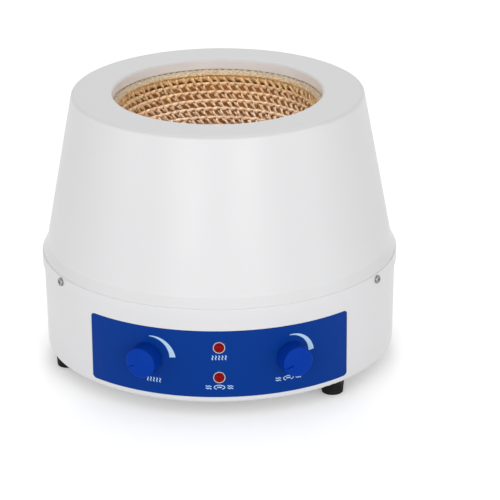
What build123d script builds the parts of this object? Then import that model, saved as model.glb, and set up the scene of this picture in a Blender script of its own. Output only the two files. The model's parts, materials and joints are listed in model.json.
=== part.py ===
from build123d import *
import os
from math import atan2, cos, degrees, radians, sin, sqrt

# Heating mantle with a magnetic stirrer, for a two-litre round-bottomed flask.
# Millimetres. The origin is on the body's vertical axis, in the plane that the feet stand on.
# +Z is up, and the control panel faces -Y. Bearings are degrees from the front, positive to the
# right of someone who faces the panel.

os.makedirs("parts", exist_ok=True)

# ---------------------------------------------------------------- body
foot_height = 12.6
base_height = 72.0  # base shell, from its underside to the seam
seam_gap = 0.6
skirt_height = 9.0  # upright band round the foot of the cover
flare_height = 9.2  # slope from the band in to the waist
cone_height = 127.6
body_radius = 150.0  # over the skirt
waist_radius = 145.5
rim_radius = 122.0
seam_step = 1.4  # how far the skirt stands out past the base at the seam
base_taper = 1.3  # how much narrower the base is at its foot
opening_radius = 87.7
collar_depth = 8.7
wall = 2.6
rim_round = 3.0
collar_round = 2.2
waist_round = 4.0
shoulder_round = 2.5
skirt_round = 1.0
crease_width = 0.9
crease_depth = 0.45
lap_clearance = 0.3
lap_height = 7.6
base_floor = 2.8
base_round = 2.6
floor_width = 29.3  # ring of the base's floor, round its opening

base_seam_radius = body_radius - seam_step
base_foot_radius = base_seam_radius - base_taper
floor_opening_radius = base_foot_radius - floor_width
base_z = foot_height
seam_z = base_z + base_height
cover_z = seam_z + seam_gap
shoulder_z = cover_z + skirt_height
waist_z = shoulder_z + flare_height
top_z = waist_z + cone_height
collar_z = top_z - collar_depth

# ---------------------------------------------------------------- general fits
touch_gap = 0.3  # between curved faces that only lie against each other
screw_clearance = 0.2  # round a screw in a plain hole, radial
thread_clearance = 0.05  # round a screw in its thread, radial
running_clearance = 0.05  # round a turning shaft, radial

# ---------------------------------------------------------------- flask nest
flask_radius = 83.0
hem_height = 4.7  # from the nest's widest row up to the collar
hem_overlap = 7.0  # how far the hem reaches out under the collar
hem_slope = 0.5  # how far the hem's top leans out past the opening
row_count = 18
row_depth = 1.5
nest_thickness = 6.0
ribbon = 1.4  # heating ribbon, square section
ribbon_turns = 7
ribbon_spread = 80.0  # angle that the turns cover, down from the nest's widest row
ribbon_gap_angle = 12.0
bowl_wall = 1.2
boss_setback = 5.9  # from the bowl or the hem, whichever is wider, to a boss's centre
boss_margin = 1.0  # from a boss to the flange's edge
bowl_screw_count = 3
bowl_screw_radius = 1.6
bowl_screw_head = 3.0
bowl_screw_head_height = 1.8
boss_radius = 4.6
boss_bore_depth = 7.0
insulation_thickness = 15.0
insulation_window = 44.0  # radius of the window over the stirrer magnets

nest_z = collar_z - hem_height
nest_radius = flask_radius + nest_thickness
bowl_radius = nest_radius + 2 * touch_gap + ribbon
bowl_outer_radius = bowl_radius + bowl_wall
hem_outer_radius = opening_radius + hem_overlap
boss_ring_radius = max(bowl_outer_radius, hem_outer_radius) + boss_setback
bowl_flange_radius = boss_ring_radius + boss_radius + boss_margin

# ---------------------------------------------------------------- feet and underside
foot_inset = 12.8  # from the base's edge to a foot's centre
foot_bearings = {"front": 43.7, "left": -74.0, "rear": 165.0}
foot_top_radius = 9.9
foot_bottom_radius = 8.8
foot_recess_radius = 4.8
foot_recess_depth = 5.0
foot_round = 1.0
foot_screw_radius = 2.0
foot_screw_head = 3.8
foot_screw_head_height = 2.8
foot_nut_flats = 7.0
foot_nut_height = 3.2
thread_end = 1.2  # screw standing out past its nut
plate_thickness = 1.6
plate_clearance = 0.8
vent_width = 4.0
vent_length = 24.0
vent_ring_radius = 72.0
vents_per_side = 7
vent_spread = 104.0

foot_ring_radius = base_foot_radius - foot_inset
plate_z = base_z + base_floor
plate_top = plate_z + plate_thickness

# ---------------------------------------------------------------- cover screws
cover_screw_bearings = (60.0, -60.0, 180.0)
cover_screw_height = 5.4
cover_screw_radius = 1.6
cover_screw_head = 3.5
cover_screw_head_height = 2.2
cover_screw_length = 12.0
recess_length = 3.9  # cross recess in the head
recess_width = 0.8
recess_depth = 1.2
cover_boss_radius = 4.0
cover_boss_length = 9.0

# ---------------------------------------------------------------- control panel
panel_angle = 45.0
panel_foot = 5.3  # above the base's underside
panel_height = 58.0
panel_corner = 2.9
panel_thickness = 1.2
panel_recess = 1.0
panel_clearance = 0.15
panel_bed = 0.1  # film of glue under the panel

lamp_heights = {"heat": 49.5, "stir": 23.3}  # above the base's underside
lamp_barrel_radius = 4.0
lamp_flange_radius = 5.3
lamp_flange_height = 1.2
lamp_flange_taper = 20.0
lamp_lens_radius = 4.3
lamp_lens_height = 2.6
lamp_lens_seat = 0.7
lamp_barrel_length = 11.0
lamp_bore_radius = 3.0
lamp_nut_flats = 11.0
lamp_nut_height = 2.4
lamp_body_radius = 4.6
lamp_body_length = 14.0
lamp_body_round = 0.6

dial_bearings = {"heat": -23.2, "stir": 23.2}
dial_height = 36.3
pot_radius = 8.5
pot_depth = 10.0
bushing_radius = 3.5
bushing_length = 9.0  # from the pot's face
pot_nut_flats = 10.0
pot_nut_height = 2.0
pot_round = 0.7
shaft_radius = 3.0
shaft_flat = 1.5  # depth of the flat on the shaft's end
shaft_in_pot = 6.0
knob_radius = 12.8
knob_depth = 14.6
knob_gap = 0.6
knob_face_edge = 0.6
knob_dome = 1.2
knob_recess_radius = 8.0
knob_recess_depth = 5.0
knob_bore_depth = 7.5
knurl_count = 40
knurl_size = 0.75
pointer_angle = 203.0  # anticlockwise from the right, seen from the front
pointer_width = 1.0
pointer_depth = 0.6
pointer_inner = 5.0

# ---------------------------------------------------------------- stirrer
stir_gap = 3.5  # magnets to bowl
magnet_radius = 7.0
magnet_height = 8.0
magnet_offset = 27.0
arm_width = 16.0
arm_length = 72.0
arm_thickness = 5.0
hub_radius = 8.0
hub_height = 9.0
hub_gap = 4.5
arm_screw_radius = 1.5
motor_shaft_radius = 2.5
motor_shaft_chamfer = 0.5
bearing_radius = 6.0
bearing_flange_radius = 8.0
bearing_flange_height = 1.5
bracket_sheet = 2.0
bracket_width = 46.0
bracket_half_span = 31.0
bracket_foot_reach = 19.0
bracket_bend = 4.0
motor_radius = 20.0
motor_height = 34.0
motor_bore_depth = 26.0
motor_round = 2.0
motor_screw_offset = 14.0
motor_screw_radius = 1.5
motor_screw_head = 2.8
motor_screw_head_height = 2.0
motor_screw_grip = 5.0
bracket_screw_inset = 8.0

bracket_screw_x = bracket_half_span + bracket_foot_reach / 2 + bracket_bend / 2
bracket_screw_pitch = bracket_width - 2 * bracket_screw_inset
magnet_top = nest_z - bowl_outer_radius - stir_gap
arm_top = magnet_top - magnet_height
hub_z = arm_top - arm_thickness - hub_height
bracket_top = hub_z - hub_gap
motor_top = bracket_top - bracket_sheet

# ---------------------------------------------------------------- mains inlet, at the back
pad_width = 58.0
pad_height = 50.0
pad_proud = 1.5  # beyond the base wall, on the centre line
pad_depth = 6.2
pad_corner = 4.0
inlet_height = 36.0  # pad centre above the base's underside
inlet_flange_width = 50.0
inlet_flange_height = 42.0
inlet_flange = 3.0
inlet_corner = 3.0
inlet_body_width = 29.0
inlet_body_height = 37.0
inlet_body_depth = 30.0
inlet_body_clearance = 0.4
socket_width = 24.6
socket_height = 16.8
socket_depth = 17.0
socket_chamfer = 4.5
socket_offset = 7.5
pin_width = 2.0
pin_thickness = 4.0
pin_spacing = 7.0
pin_drop = 2.0
pin_recess = 4.6
pin_tail = 7.0
inlet_screw_spacing = 40.0
inlet_screw_radius = 1.5
inlet_screw_head = 2.8
inlet_screw_head_height = 1.6
inlet_nut_flats = 5.5
inlet_nut_height = 2.4
drawer_width = 23.0
drawer_height = 8.4
drawer_length = 26.0
drawer_offset = -12.0
drawer_face_width = 26.0
drawer_face_height = 11.0
drawer_face_thickness = 1.6
drawer_clearance = 0.3
fuse_radius = 2.6
fuse_length = 20.0
fuse_inset = 8.0

# ---------------------------------------------------------------- electronics
board_margin = 27.0  # from the bottom plate's edge to the board's edge
board_y = 8.0
board_width = 58.0
board_length = 84.0
board_thickness = 1.6
standoff_height = 8.0
standoff_radius = 3.2
standoff_inset = 5.0
board_screw_radius = 1.4
board_screw_head = 2.6
board_screw_head_height = 1.8
board_screw_length = 6.0
sink_width = 22.0
sink_length = 42.0
sink_height = 28.0
sink_base = 4.0
sink_fin = 1.6
sink_fin_count = 5
sink_shift_y = 14.0
sink_shift_x = -10.0
triac_width = 10.2
triac_height = 15.5
triac_thickness = 4.5
triac_lead = 3.0
triac_lead_width = 0.9
triac_lead_pitch = 2.5
capacitor_radius = 8.0
capacitor_height = 24.0
capacitor_round = 1.0
capacitor_shift_x = 14.0
capacitor_shift_y = 22.0
block_width = 10.0
block_length = 40.0
block_height = 13.0
block_shift_x = 8.0
block_shift_y = -20.0
block_ways = 4
block_hole_radius = 1.8
block_hole_depth = 8.0


def base_radius(z):
    """Outside radius of the base wall at height z."""
    share = (z - base_z) / base_height
    return base_foot_radius + (base_seam_radius - base_foot_radius) * share


def bearing_direction(bearing):
    """Unit vector outwards at a bearing."""
    return Vector(sin(radians(bearing)), -cos(radians(bearing)), 0)


def face_plane(bearing, radius, z):
    """Plane at right angles to a radius: x to the viewer's right, y up, z outwards."""
    outwards = bearing_direction(bearing)
    right = Vector(cos(radians(bearing)), sin(radians(bearing)), 0)
    return Plane(origin=outwards * radius + Vector(0, 0, z), x_dir=right, z_dir=outwards)


def turning_plane(bearing, z):
    """Plane through a radial axis: x to the viewer's right, y outwards from the body's axis."""
    right = Vector(cos(radians(bearing)), sin(radians(bearing)), 0)
    return Plane(origin=(0, 0, z), x_dir=right, z_dir=(0, 0, -1))


def radial_axis(bearing, z):
    """Axis outwards from the body's axis."""
    return Axis((0, 0, z), tuple(bearing_direction(bearing)))


def panel_seat(z, half_height):
    """How near to the body's axis a flat face this high can lie on the panel."""
    return base_radius(z + half_height) - panel_recess + panel_thickness


def dome_middle(radius, height, foot):
    """Point half-way up a shallow dome of this radius and height, whose edge is at foot."""
    ball = (radius**2 + height**2) / (2 * height)
    half = atan2(radius, ball - height) / 2
    return (ball * sin(half), foot + height - ball * (1 - cos(half)))


def flat_seat(radius, half_width):
    """How far out a flat face this wide can lie inside a round wall."""
    return sqrt(radius**2 - half_width**2) - touch_gap


def sphere_point(radius, angle):
    """Point on the nest's section, at an angle below the level of its widest row."""
    return (radius * cos(radians(angle)), nest_z - radius * sin(radians(angle)))


def bowl_section(inner, outer, top_angle=0.0, bottom_angle=90.0):
    """Band between two spheres round the nest's centre, from one angle below level to another."""
    middle = (top_angle + bottom_angle) / 2
    with BuildLine() as band:
        ThreePointArc(*(sphere_point(outer, a) for a in (top_angle, middle, bottom_angle)))
        Line(sphere_point(outer, bottom_angle), sphere_point(inner, bottom_angle))
        ThreePointArc(*(sphere_point(inner, a) for a in (bottom_angle, middle, top_angle)))
        Line(sphere_point(inner, top_angle), sphere_point(outer, top_angle))
    make_face(band.edges())


def hexagon(flats):
    """Hexagon of a width across its flats."""
    RegularPolygon(radius=flats / 2, side_count=6, major_radius=False)


def finish(part, label):
    """Name a finished piece and write it."""
    part.part.label = label
    export_step(part.part, f"parts/{label}.step")


# ================================================================ cover and base
# The cover is one moulding: the collar turns down into the opening, and the foot is an upright skirt.
cover_wall = [
    (opening_radius, collar_z),
    (opening_radius, top_z),
    (rim_radius, top_z),
    (waist_radius, waist_z),
    (body_radius, shoulder_z),
    (body_radius, cover_z),
]
crease_z = shoulder_z + shoulder_round / 2
crease_radius = body_radius - (crease_z - shoulder_z) * (body_radius - waist_radius) / flare_height

with BuildPart() as upper_shell:
    with BuildSketch(Plane.XZ):
        with BuildLine():
            FilletPolyline(*cover_wall, radius=[collar_round, rim_round, waist_round, shoulder_round])
            offset(amount=wall, side=Side.RIGHT, closed=True)
        make_face()
    revolve(axis=Axis.Z)
    with BuildSketch(Plane.XZ):
        with Locations((crease_radius, crease_z)):
            Rectangle(2 * crease_depth, crease_width)
    revolve(axis=Axis.Z, mode=Mode.SUBTRACT)
    with BuildSketch(Plane.XY.offset(nest_z)):
        with PolarLocations(boss_ring_radius, bowl_screw_count, start_angle=90):
            Circle(boss_radius)
    extrude(amount=top_z - wall - nest_z)
    with BuildSketch(Plane.XY.offset(nest_z)):
        with PolarLocations(boss_ring_radius, bowl_screw_count, start_angle=90):
            Circle(bowl_screw_radius + thread_clearance)
    extrude(amount=boss_bore_depth, mode=Mode.SUBTRACT)
    for bearing in cover_screw_bearings:
        with BuildSketch(face_plane(bearing, body_radius - 2 * wall, cover_z + cover_screw_height)):
            Circle(cover_screw_radius + screw_clearance)
        extrude(amount=3 * wall, mode=Mode.SUBTRACT)
finish(upper_shell, "upper_shell")

# The base is a tapered tub with an open floor; its top steps in to a lip that the skirt covers.
lip_radius = body_radius - wall - lap_clearance
lip_top = cover_z + lap_height
base_wall = [
    (floor_opening_radius, base_z),
    (base_foot_radius, base_z),
    (base_seam_radius, seam_z),
    (lip_radius, seam_z),
    (lip_radius, lip_top),
    (lip_radius - wall, lip_top),
    (lip_radius - wall, seam_z),
    (base_seam_radius - wall, seam_z - wall),
    (base_radius(plate_z) - wall, plate_z),
    (floor_opening_radius, plate_z),
]
pad_z = base_z + inlet_height
pad_radius = base_radius(pad_z) + pad_proud
inlet_plane = face_plane(180, pad_radius, pad_z)
pin_places = [
    (-pin_spacing, socket_offset - pin_drop),
    (pin_spacing, socket_offset - pin_drop),
    (0, socket_offset + pin_drop),
]
fuse_y = pad_radius + inlet_flange + drawer_clearance - drawer_length + fuse_inset
fuse_z = pad_z + drawer_offset
fuse_plane = Plane(origin=(0, fuse_y, fuse_z), x_dir=(1, 0, 0), z_dir=(0, 0, 1))
fuse_end_plane = Plane(
    origin=(fuse_length / 2 + drawer_clearance, fuse_y, fuse_z), x_dir=(0, 1, 0), z_dir=(1, 0, 0)
)
panel_half_width = base_radius(base_z + panel_foot) * sin(radians(panel_angle))
panel_z = base_z + panel_foot + panel_height / 2
dial_z = base_z + dial_height
dial_seat = panel_seat(dial_z, pot_nut_flats)
pot_seat = flat_seat(base_radius(dial_z - pot_radius) - wall, pot_radius)
lamp_zs = {name: base_z + height for name, height in lamp_heights.items()}
lamp_seats = {name: panel_seat(z, lamp_flange_radius) for name, z in lamp_zs.items()}


def panel_holes():
    """Holes for the two dials' bushings and the two lamps, through panel and wall."""
    for bearing in dial_bearings.values():
        with BuildSketch(face_plane(bearing, pot_seat - wall, dial_z)) as bushing_hole:
            Circle(bushing_radius + screw_clearance)
        extrude(bushing_hole.sketch, amount=4 * wall, mode=Mode.SUBTRACT)
    for z in lamp_zs.values():
        with BuildSketch(face_plane(0, pot_seat - wall, z)) as lamp_hole:
            Circle(lamp_barrel_radius + screw_clearance)
        extrude(lamp_hole.sketch, amount=4 * wall, mode=Mode.SUBTRACT)


def panel_piece(inner, outer, clearance):
    """Piece of the base's tapered wall, a rounded rectangle when it is seen from the front."""
    with BuildPart() as piece:
        with BuildSketch(Plane.XZ):
            with BuildLine():
                Polyline(
                    (base_radius(base_z) + inner, base_z),
                    (base_radius(base_z) + outer, base_z),
                    (base_radius(seam_z) + outer, seam_z),
                    (base_radius(seam_z) + inner, seam_z),
                    close=True,
                )
            make_face()
        revolve(axis=Axis.Z)
        with BuildSketch(Plane.XZ.offset(base_seam_radius + 2 * wall)):
            with Locations((0, panel_z)):
                RectangleRounded(
                    2 * (panel_half_width + clearance),
                    panel_height + 2 * clearance,
                    panel_corner + clearance,
                )
        extrude(amount=-base_seam_radius, mode=Mode.INTERSECT)
    return piece.part


panel_bed_cut = panel_piece(-panel_recess - panel_bed, wall, panel_clearance)

with BuildPart() as lower_shell:
    with BuildSketch(Plane.XZ):
        with BuildLine():
            Polyline(*base_wall, close=True)
        make_face()
        fillet(vertices().sort_by_distance((base_foot_radius, 0, base_z))[0], base_round)
    revolve(axis=Axis.Z)
    with BuildSketch(inlet_plane):
        RectangleRounded(pad_width, pad_height, pad_corner)
    extrude(amount=-pad_depth)
    for bearing in cover_screw_bearings:
        screw_z = cover_z + cover_screw_height
        with BuildSketch(face_plane(bearing, lip_radius - wall / 2, screw_z)):
            Circle(cover_boss_radius)
        extrude(amount=-cover_boss_length)
        with BuildSketch(face_plane(bearing, lip_radius + wall, screw_z)):
            Circle(cover_screw_radius + thread_clearance)
        extrude(amount=-cover_boss_length - 3 * wall, mode=Mode.SUBTRACT)
    with BuildSketch(inlet_plane.offset(wall)):
        Rectangle(
            inlet_body_width + 2 * inlet_body_clearance, inlet_body_height + 2 * inlet_body_clearance
        )
        with GridLocations(inlet_screw_spacing, 1, 2, 1):
            Circle(inlet_screw_radius + screw_clearance)
    extrude(amount=-pad_depth - 4 * wall, mode=Mode.SUBTRACT)
    add(panel_bed_cut, mode=Mode.SUBTRACT)
    panel_holes()
    for bearing in foot_bearings.values():
        foot_centre = bearing_direction(bearing) * foot_ring_radius
        with BuildSketch(Plane.XY.offset(base_z)):
            with Locations(foot_centre):
                Circle(foot_screw_radius + screw_clearance)
        extrude(amount=base_floor, mode=Mode.SUBTRACT)
finish(lower_shell, "lower_shell")

with BuildPart() as control_panel:
    add(panel_piece(-panel_recess, panel_thickness - panel_recess, 0))
    panel_holes()
finish(control_panel, "control_panel")

plate_radius = base_radius(plate_z) - wall - plate_clearance
with BuildPart() as bottom_plate:
    with BuildSketch(Plane.XY.offset(plate_z)):
        Circle(plate_radius)
        for bearing in foot_bearings.values():
            with Locations(bearing_direction(bearing) * foot_ring_radius):
                Circle(foot_screw_radius + screw_clearance, mode=Mode.SUBTRACT)
        for side in (90, -90):
            first = side - vent_spread / 2
            with PolarLocations(vent_ring_radius, vents_per_side, first, vent_spread, endpoint=True):
                SlotOverall(vent_length, vent_width, mode=Mode.SUBTRACT)
        with GridLocations(2 * bracket_screw_x, bracket_screw_pitch, 2, 2):
            Circle(motor_screw_radius + thread_clearance, mode=Mode.SUBTRACT)
    extrude(amount=plate_thickness)
finish(bottom_plate, "bottom_plate")

# ================================================================ feet and screws
for name, bearing in foot_bearings.items():
    foot_centre = bearing_direction(bearing) * foot_ring_radius
    with BuildPart() as foot:
        with BuildSketch(Plane.XY.offset(foot_height)):
            with Locations(foot_centre):
                Circle(foot_top_radius)
        foot_taper = degrees(atan2(foot_top_radius - foot_bottom_radius, foot_height))
        extrude(amount=-foot_height, taper=foot_taper)
        fillet(edges().group_by(Axis.Z)[0], foot_round)
        with BuildSketch(Plane.XY):
            with Locations(foot_centre):
                Circle(foot_recess_radius)
        extrude(amount=foot_recess_depth, mode=Mode.SUBTRACT)
        with BuildSketch(Plane.XY.offset(foot_recess_depth)):
            with Locations(foot_centre):
                Circle(foot_screw_radius + screw_clearance)
        extrude(amount=foot_height, mode=Mode.SUBTRACT)
    finish(foot, f"foot_{name}")

foot_points = [bearing_direction(bearing) * foot_ring_radius for bearing in foot_bearings.values()]
foot_nut_top = plate_top + foot_nut_height
with BuildPart() as foot_screws:
    with BuildSketch(Plane.XY.offset(foot_recess_depth)):
        with Locations(*foot_points):
            Circle(foot_screw_head)
    extrude(amount=-foot_screw_head_height)
    with BuildSketch(Plane.XY.offset(foot_recess_depth)):
        with Locations(*foot_points):
            Circle(foot_screw_radius)
    extrude(amount=foot_nut_top + thread_end - foot_recess_depth)
finish(foot_screws, "foot_screws")

with BuildPart() as foot_nuts:
    with BuildSketch(Plane.XY.offset(plate_top)):
        with Locations(*foot_points):
            hexagon(foot_nut_flats)
            Circle(foot_screw_radius + thread_clearance, mode=Mode.SUBTRACT)
    extrude(amount=foot_nut_height)
finish(foot_nuts, "foot_nuts")

with BuildPart() as shell_screws:
    for bearing in cover_screw_bearings:
        seat = face_plane(bearing, body_radius, cover_z + cover_screw_height)
        with BuildSketch(seat):
            Circle(cover_screw_head)
        extrude(amount=cover_screw_head_height)
        head_middle = seat.origin + seat.z_dir * cover_screw_head_height
        head_edge = edges().filter_by(GeomType.CIRCLE).sort_by_distance(head_middle)[0]
        fillet(head_edge, cover_screw_head_height / 2)
        with BuildSketch(seat):
            Circle(cover_screw_radius)
        extrude(amount=-cover_screw_length)
        with BuildSketch(seat.offset(cover_screw_head_height)):
            Rectangle(recess_length, recess_width)
            Rectangle(recess_width, recess_length)
        extrude(amount=-recess_depth, mode=Mode.SUBTRACT)
finish(shell_screws, "shell_screws")

# ================================================================ flask nest
# Rows of heating rope stitched side by side, each a rounded ridge towards the flask. The first
# hollow lies under the hem.
row_angle = 90.0 / row_count
with BuildPart() as heating_nest:
    with BuildSketch(Plane.XZ):
        with BuildLine():
            for row in range(1, row_count):
                crest_angle = row * row_angle
                ThreePointArc(
                    sphere_point(flask_radius + row_depth, crest_angle - row_angle / 2),
                    sphere_point(flask_radius, crest_angle),
                    sphere_point(flask_radius + row_depth, crest_angle + row_angle / 2),
                )
            last_row = sphere_point(flask_radius + row_depth, 90 - row_angle / 2)
            Line(last_row, sphere_point(flask_radius + row_depth, 90))
            Line(sphere_point(flask_radius + row_depth, 90), sphere_point(nest_radius, 90))
            ThreePointArc(*(sphere_point(nest_radius, angle) for angle in (90, 45, 0)))
            Line(sphere_point(nest_radius, 0), sphere_point(flask_radius + row_depth, 0))
            first_row = sphere_point(flask_radius + row_depth, row_angle / 2)
            Line(sphere_point(flask_radius + row_depth, 0), first_row)
        make_face()
    revolve(axis=Axis.Z)
finish(heating_nest, "heating_nest")

hem_z = nest_z + touch_gap
hem_top = collar_z - touch_gap
with BuildPart() as nest_hem:
    with BuildSketch(Plane.XZ):
        with BuildLine():
            Polyline(
                (flask_radius, hem_z),
                (opening_radius + hem_slope, hem_top),
                (hem_outer_radius, hem_top),
                (hem_outer_radius, hem_z),
                close=True,
            )
        make_face()
    revolve(axis=Axis.Z)
finish(nest_hem, "nest_hem")

# The ribbon runs to and fro round the nest's back, one turn under the other.
ribbon_inner = nest_radius + touch_gap
ribbon_pitch = ribbon_spread / ribbon_turns
ribbon_half_angle = degrees(ribbon / 2 / ribbon_inner)
with BuildPart() as heating_element:
    for turn in range(ribbon_turns):
        turn_angle = (turn + 0.5) * ribbon_pitch
        with BuildSketch(Plane.XZ):
            bowl_section(ribbon_inner, ribbon_inner + ribbon, turn_angle - ribbon_half_angle,
                         turn_angle + ribbon_half_angle)
        revolve(axis=Axis.Z, revolution_arc=360 - ribbon_gap_angle)
    for turn in range(ribbon_turns - 1):
        turn_angle = (turn + 0.5) * ribbon_pitch
        link_start = 0 if turn % 2 else ribbon_gap_angle + ribbon_half_angle * 2
        with BuildSketch(Plane.XZ.rotated((0, 0, -link_start))):
            bowl_section(ribbon_inner, ribbon_inner + ribbon, turn_angle, turn_angle + ribbon_pitch)
        revolve(axis=Axis.Z, revolution_arc=ribbon_half_angle * 2)
finish(heating_element, "heating_element")

with BuildPart() as inner_bowl:
    with BuildSketch(Plane.XZ):
        bowl_section(bowl_radius, bowl_outer_radius)
        with Locations((bowl_radius, nest_z)):
            Rectangle(bowl_flange_radius - bowl_radius, bowl_wall, align=(Align.MIN, Align.MAX))
    revolve(axis=Axis.Z)
    with BuildSketch(Plane.XY.offset(nest_z)):
        with PolarLocations(boss_ring_radius, bowl_screw_count, start_angle=90):
            Circle(bowl_screw_radius + screw_clearance)
    extrude(amount=-bowl_wall * 2, mode=Mode.SUBTRACT)
finish(inner_bowl, "inner_bowl")

flange_under = nest_z - bowl_wall
with BuildPart() as bowl_screws:
    with BuildSketch(Plane.XY.offset(flange_under)):
        with PolarLocations(boss_ring_radius, bowl_screw_count, start_angle=90):
            Circle(bowl_screw_head)
    extrude(amount=-bowl_screw_head_height)
    with BuildSketch(Plane.XY.offset(flange_under)):
        with PolarLocations(boss_ring_radius, bowl_screw_count, start_angle=90):
            Circle(bowl_screw_radius)
    extrude(amount=bowl_wall + boss_bore_depth - thread_end)
finish(bowl_screws, "bowl_screws")

insulation_inner = bowl_outer_radius + touch_gap
insulation_outer = insulation_inner + insulation_thickness
insulation_top = flange_under - bowl_screw_head_height - touch_gap
with BuildPart() as insulation_bowl:
    with BuildSketch(Plane.XZ):
        bowl_section(insulation_inner, insulation_outer)
    revolve(axis=Axis.Z)
    split(bisect_by=Plane.XY.offset(insulation_top), keep=Keep.BOTTOM)
    with BuildSketch(Plane.XY):
        Circle(insulation_window)
    extrude(amount=nest_z, mode=Mode.SUBTRACT)
finish(insulation_bowl, "insulation_bowl")

# ================================================================ lamps
for name, z in lamp_zs.items():
    seat = face_plane(0, lamp_seats[name], z)
    seat_radius = lamp_seats[name]
    with BuildPart() as lamp_bezel:
        with BuildSketch(seat):
            Circle(lamp_flange_radius)
        extrude(amount=lamp_flange_height, taper=lamp_flange_taper)
        with BuildSketch(seat):
            Circle(lamp_barrel_radius)
        extrude(amount=-lamp_barrel_length)
        with BuildSketch(seat.offset(-lamp_barrel_length)):
            Circle(lamp_bore_radius)
        extrude(amount=lamp_barrel_length + lamp_flange_height, mode=Mode.SUBTRACT)
        with BuildSketch(seat.offset(lamp_flange_height - lamp_lens_seat)):
            Circle(lamp_lens_radius + thread_clearance)
        extrude(amount=lamp_lens_seat, mode=Mode.SUBTRACT)
    finish(lamp_bezel, f"{name}_lamp_bezel")

    lens_z = lamp_flange_height - lamp_lens_seat
    with BuildPart() as lamp_lens:
        with BuildSketch(turning_plane(0, z)):
            with BuildLine():
                lens_foot = seat_radius + lens_z
                Line((0, lens_foot - wall), (lamp_bore_radius - running_clearance, lens_foot - wall))
                Line((lamp_bore_radius - running_clearance, lens_foot - wall),
                     (lamp_bore_radius - running_clearance, lens_foot))
                Line((lamp_bore_radius - running_clearance, lens_foot), (lamp_lens_radius, lens_foot))
                Line((lamp_lens_radius, lens_foot), (lamp_lens_radius, lens_foot + lamp_lens_seat))
                dome_foot = lens_foot + lamp_lens_seat
                ThreePointArc(
                    (lamp_lens_radius, dome_foot),
                    dome_middle(lamp_lens_radius, lamp_lens_height, dome_foot),
                    (0, dome_foot + lamp_lens_height),
                )
                Line((0, dome_foot + lamp_lens_height), (0, lens_foot - wall))
            make_face()
        revolve(axis=radial_axis(0, z))
    finish(lamp_lens, f"{name}_lamp_lens")

    nut_seat = flat_seat(base_radius(z - lamp_nut_flats / 2) - wall, lamp_nut_flats / 2)
    with BuildPart() as lamp_nut:
        with BuildSketch(face_plane(0, nut_seat, z)):
            hexagon(lamp_nut_flats)
            Circle(lamp_barrel_radius + thread_clearance, mode=Mode.SUBTRACT)
        extrude(amount=-lamp_nut_height)
    finish(lamp_nut, f"{name}_lamp_nut")

    with BuildPart() as lamp_body:
        with BuildSketch(seat.offset(-lamp_barrel_length)):
            Circle(lamp_body_radius)
        extrude(amount=-lamp_body_length)
        fillet(edges().group_by(Axis.Y)[-1], lamp_body_round)
    finish(lamp_body, f"{name}_lamp_body")

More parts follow.
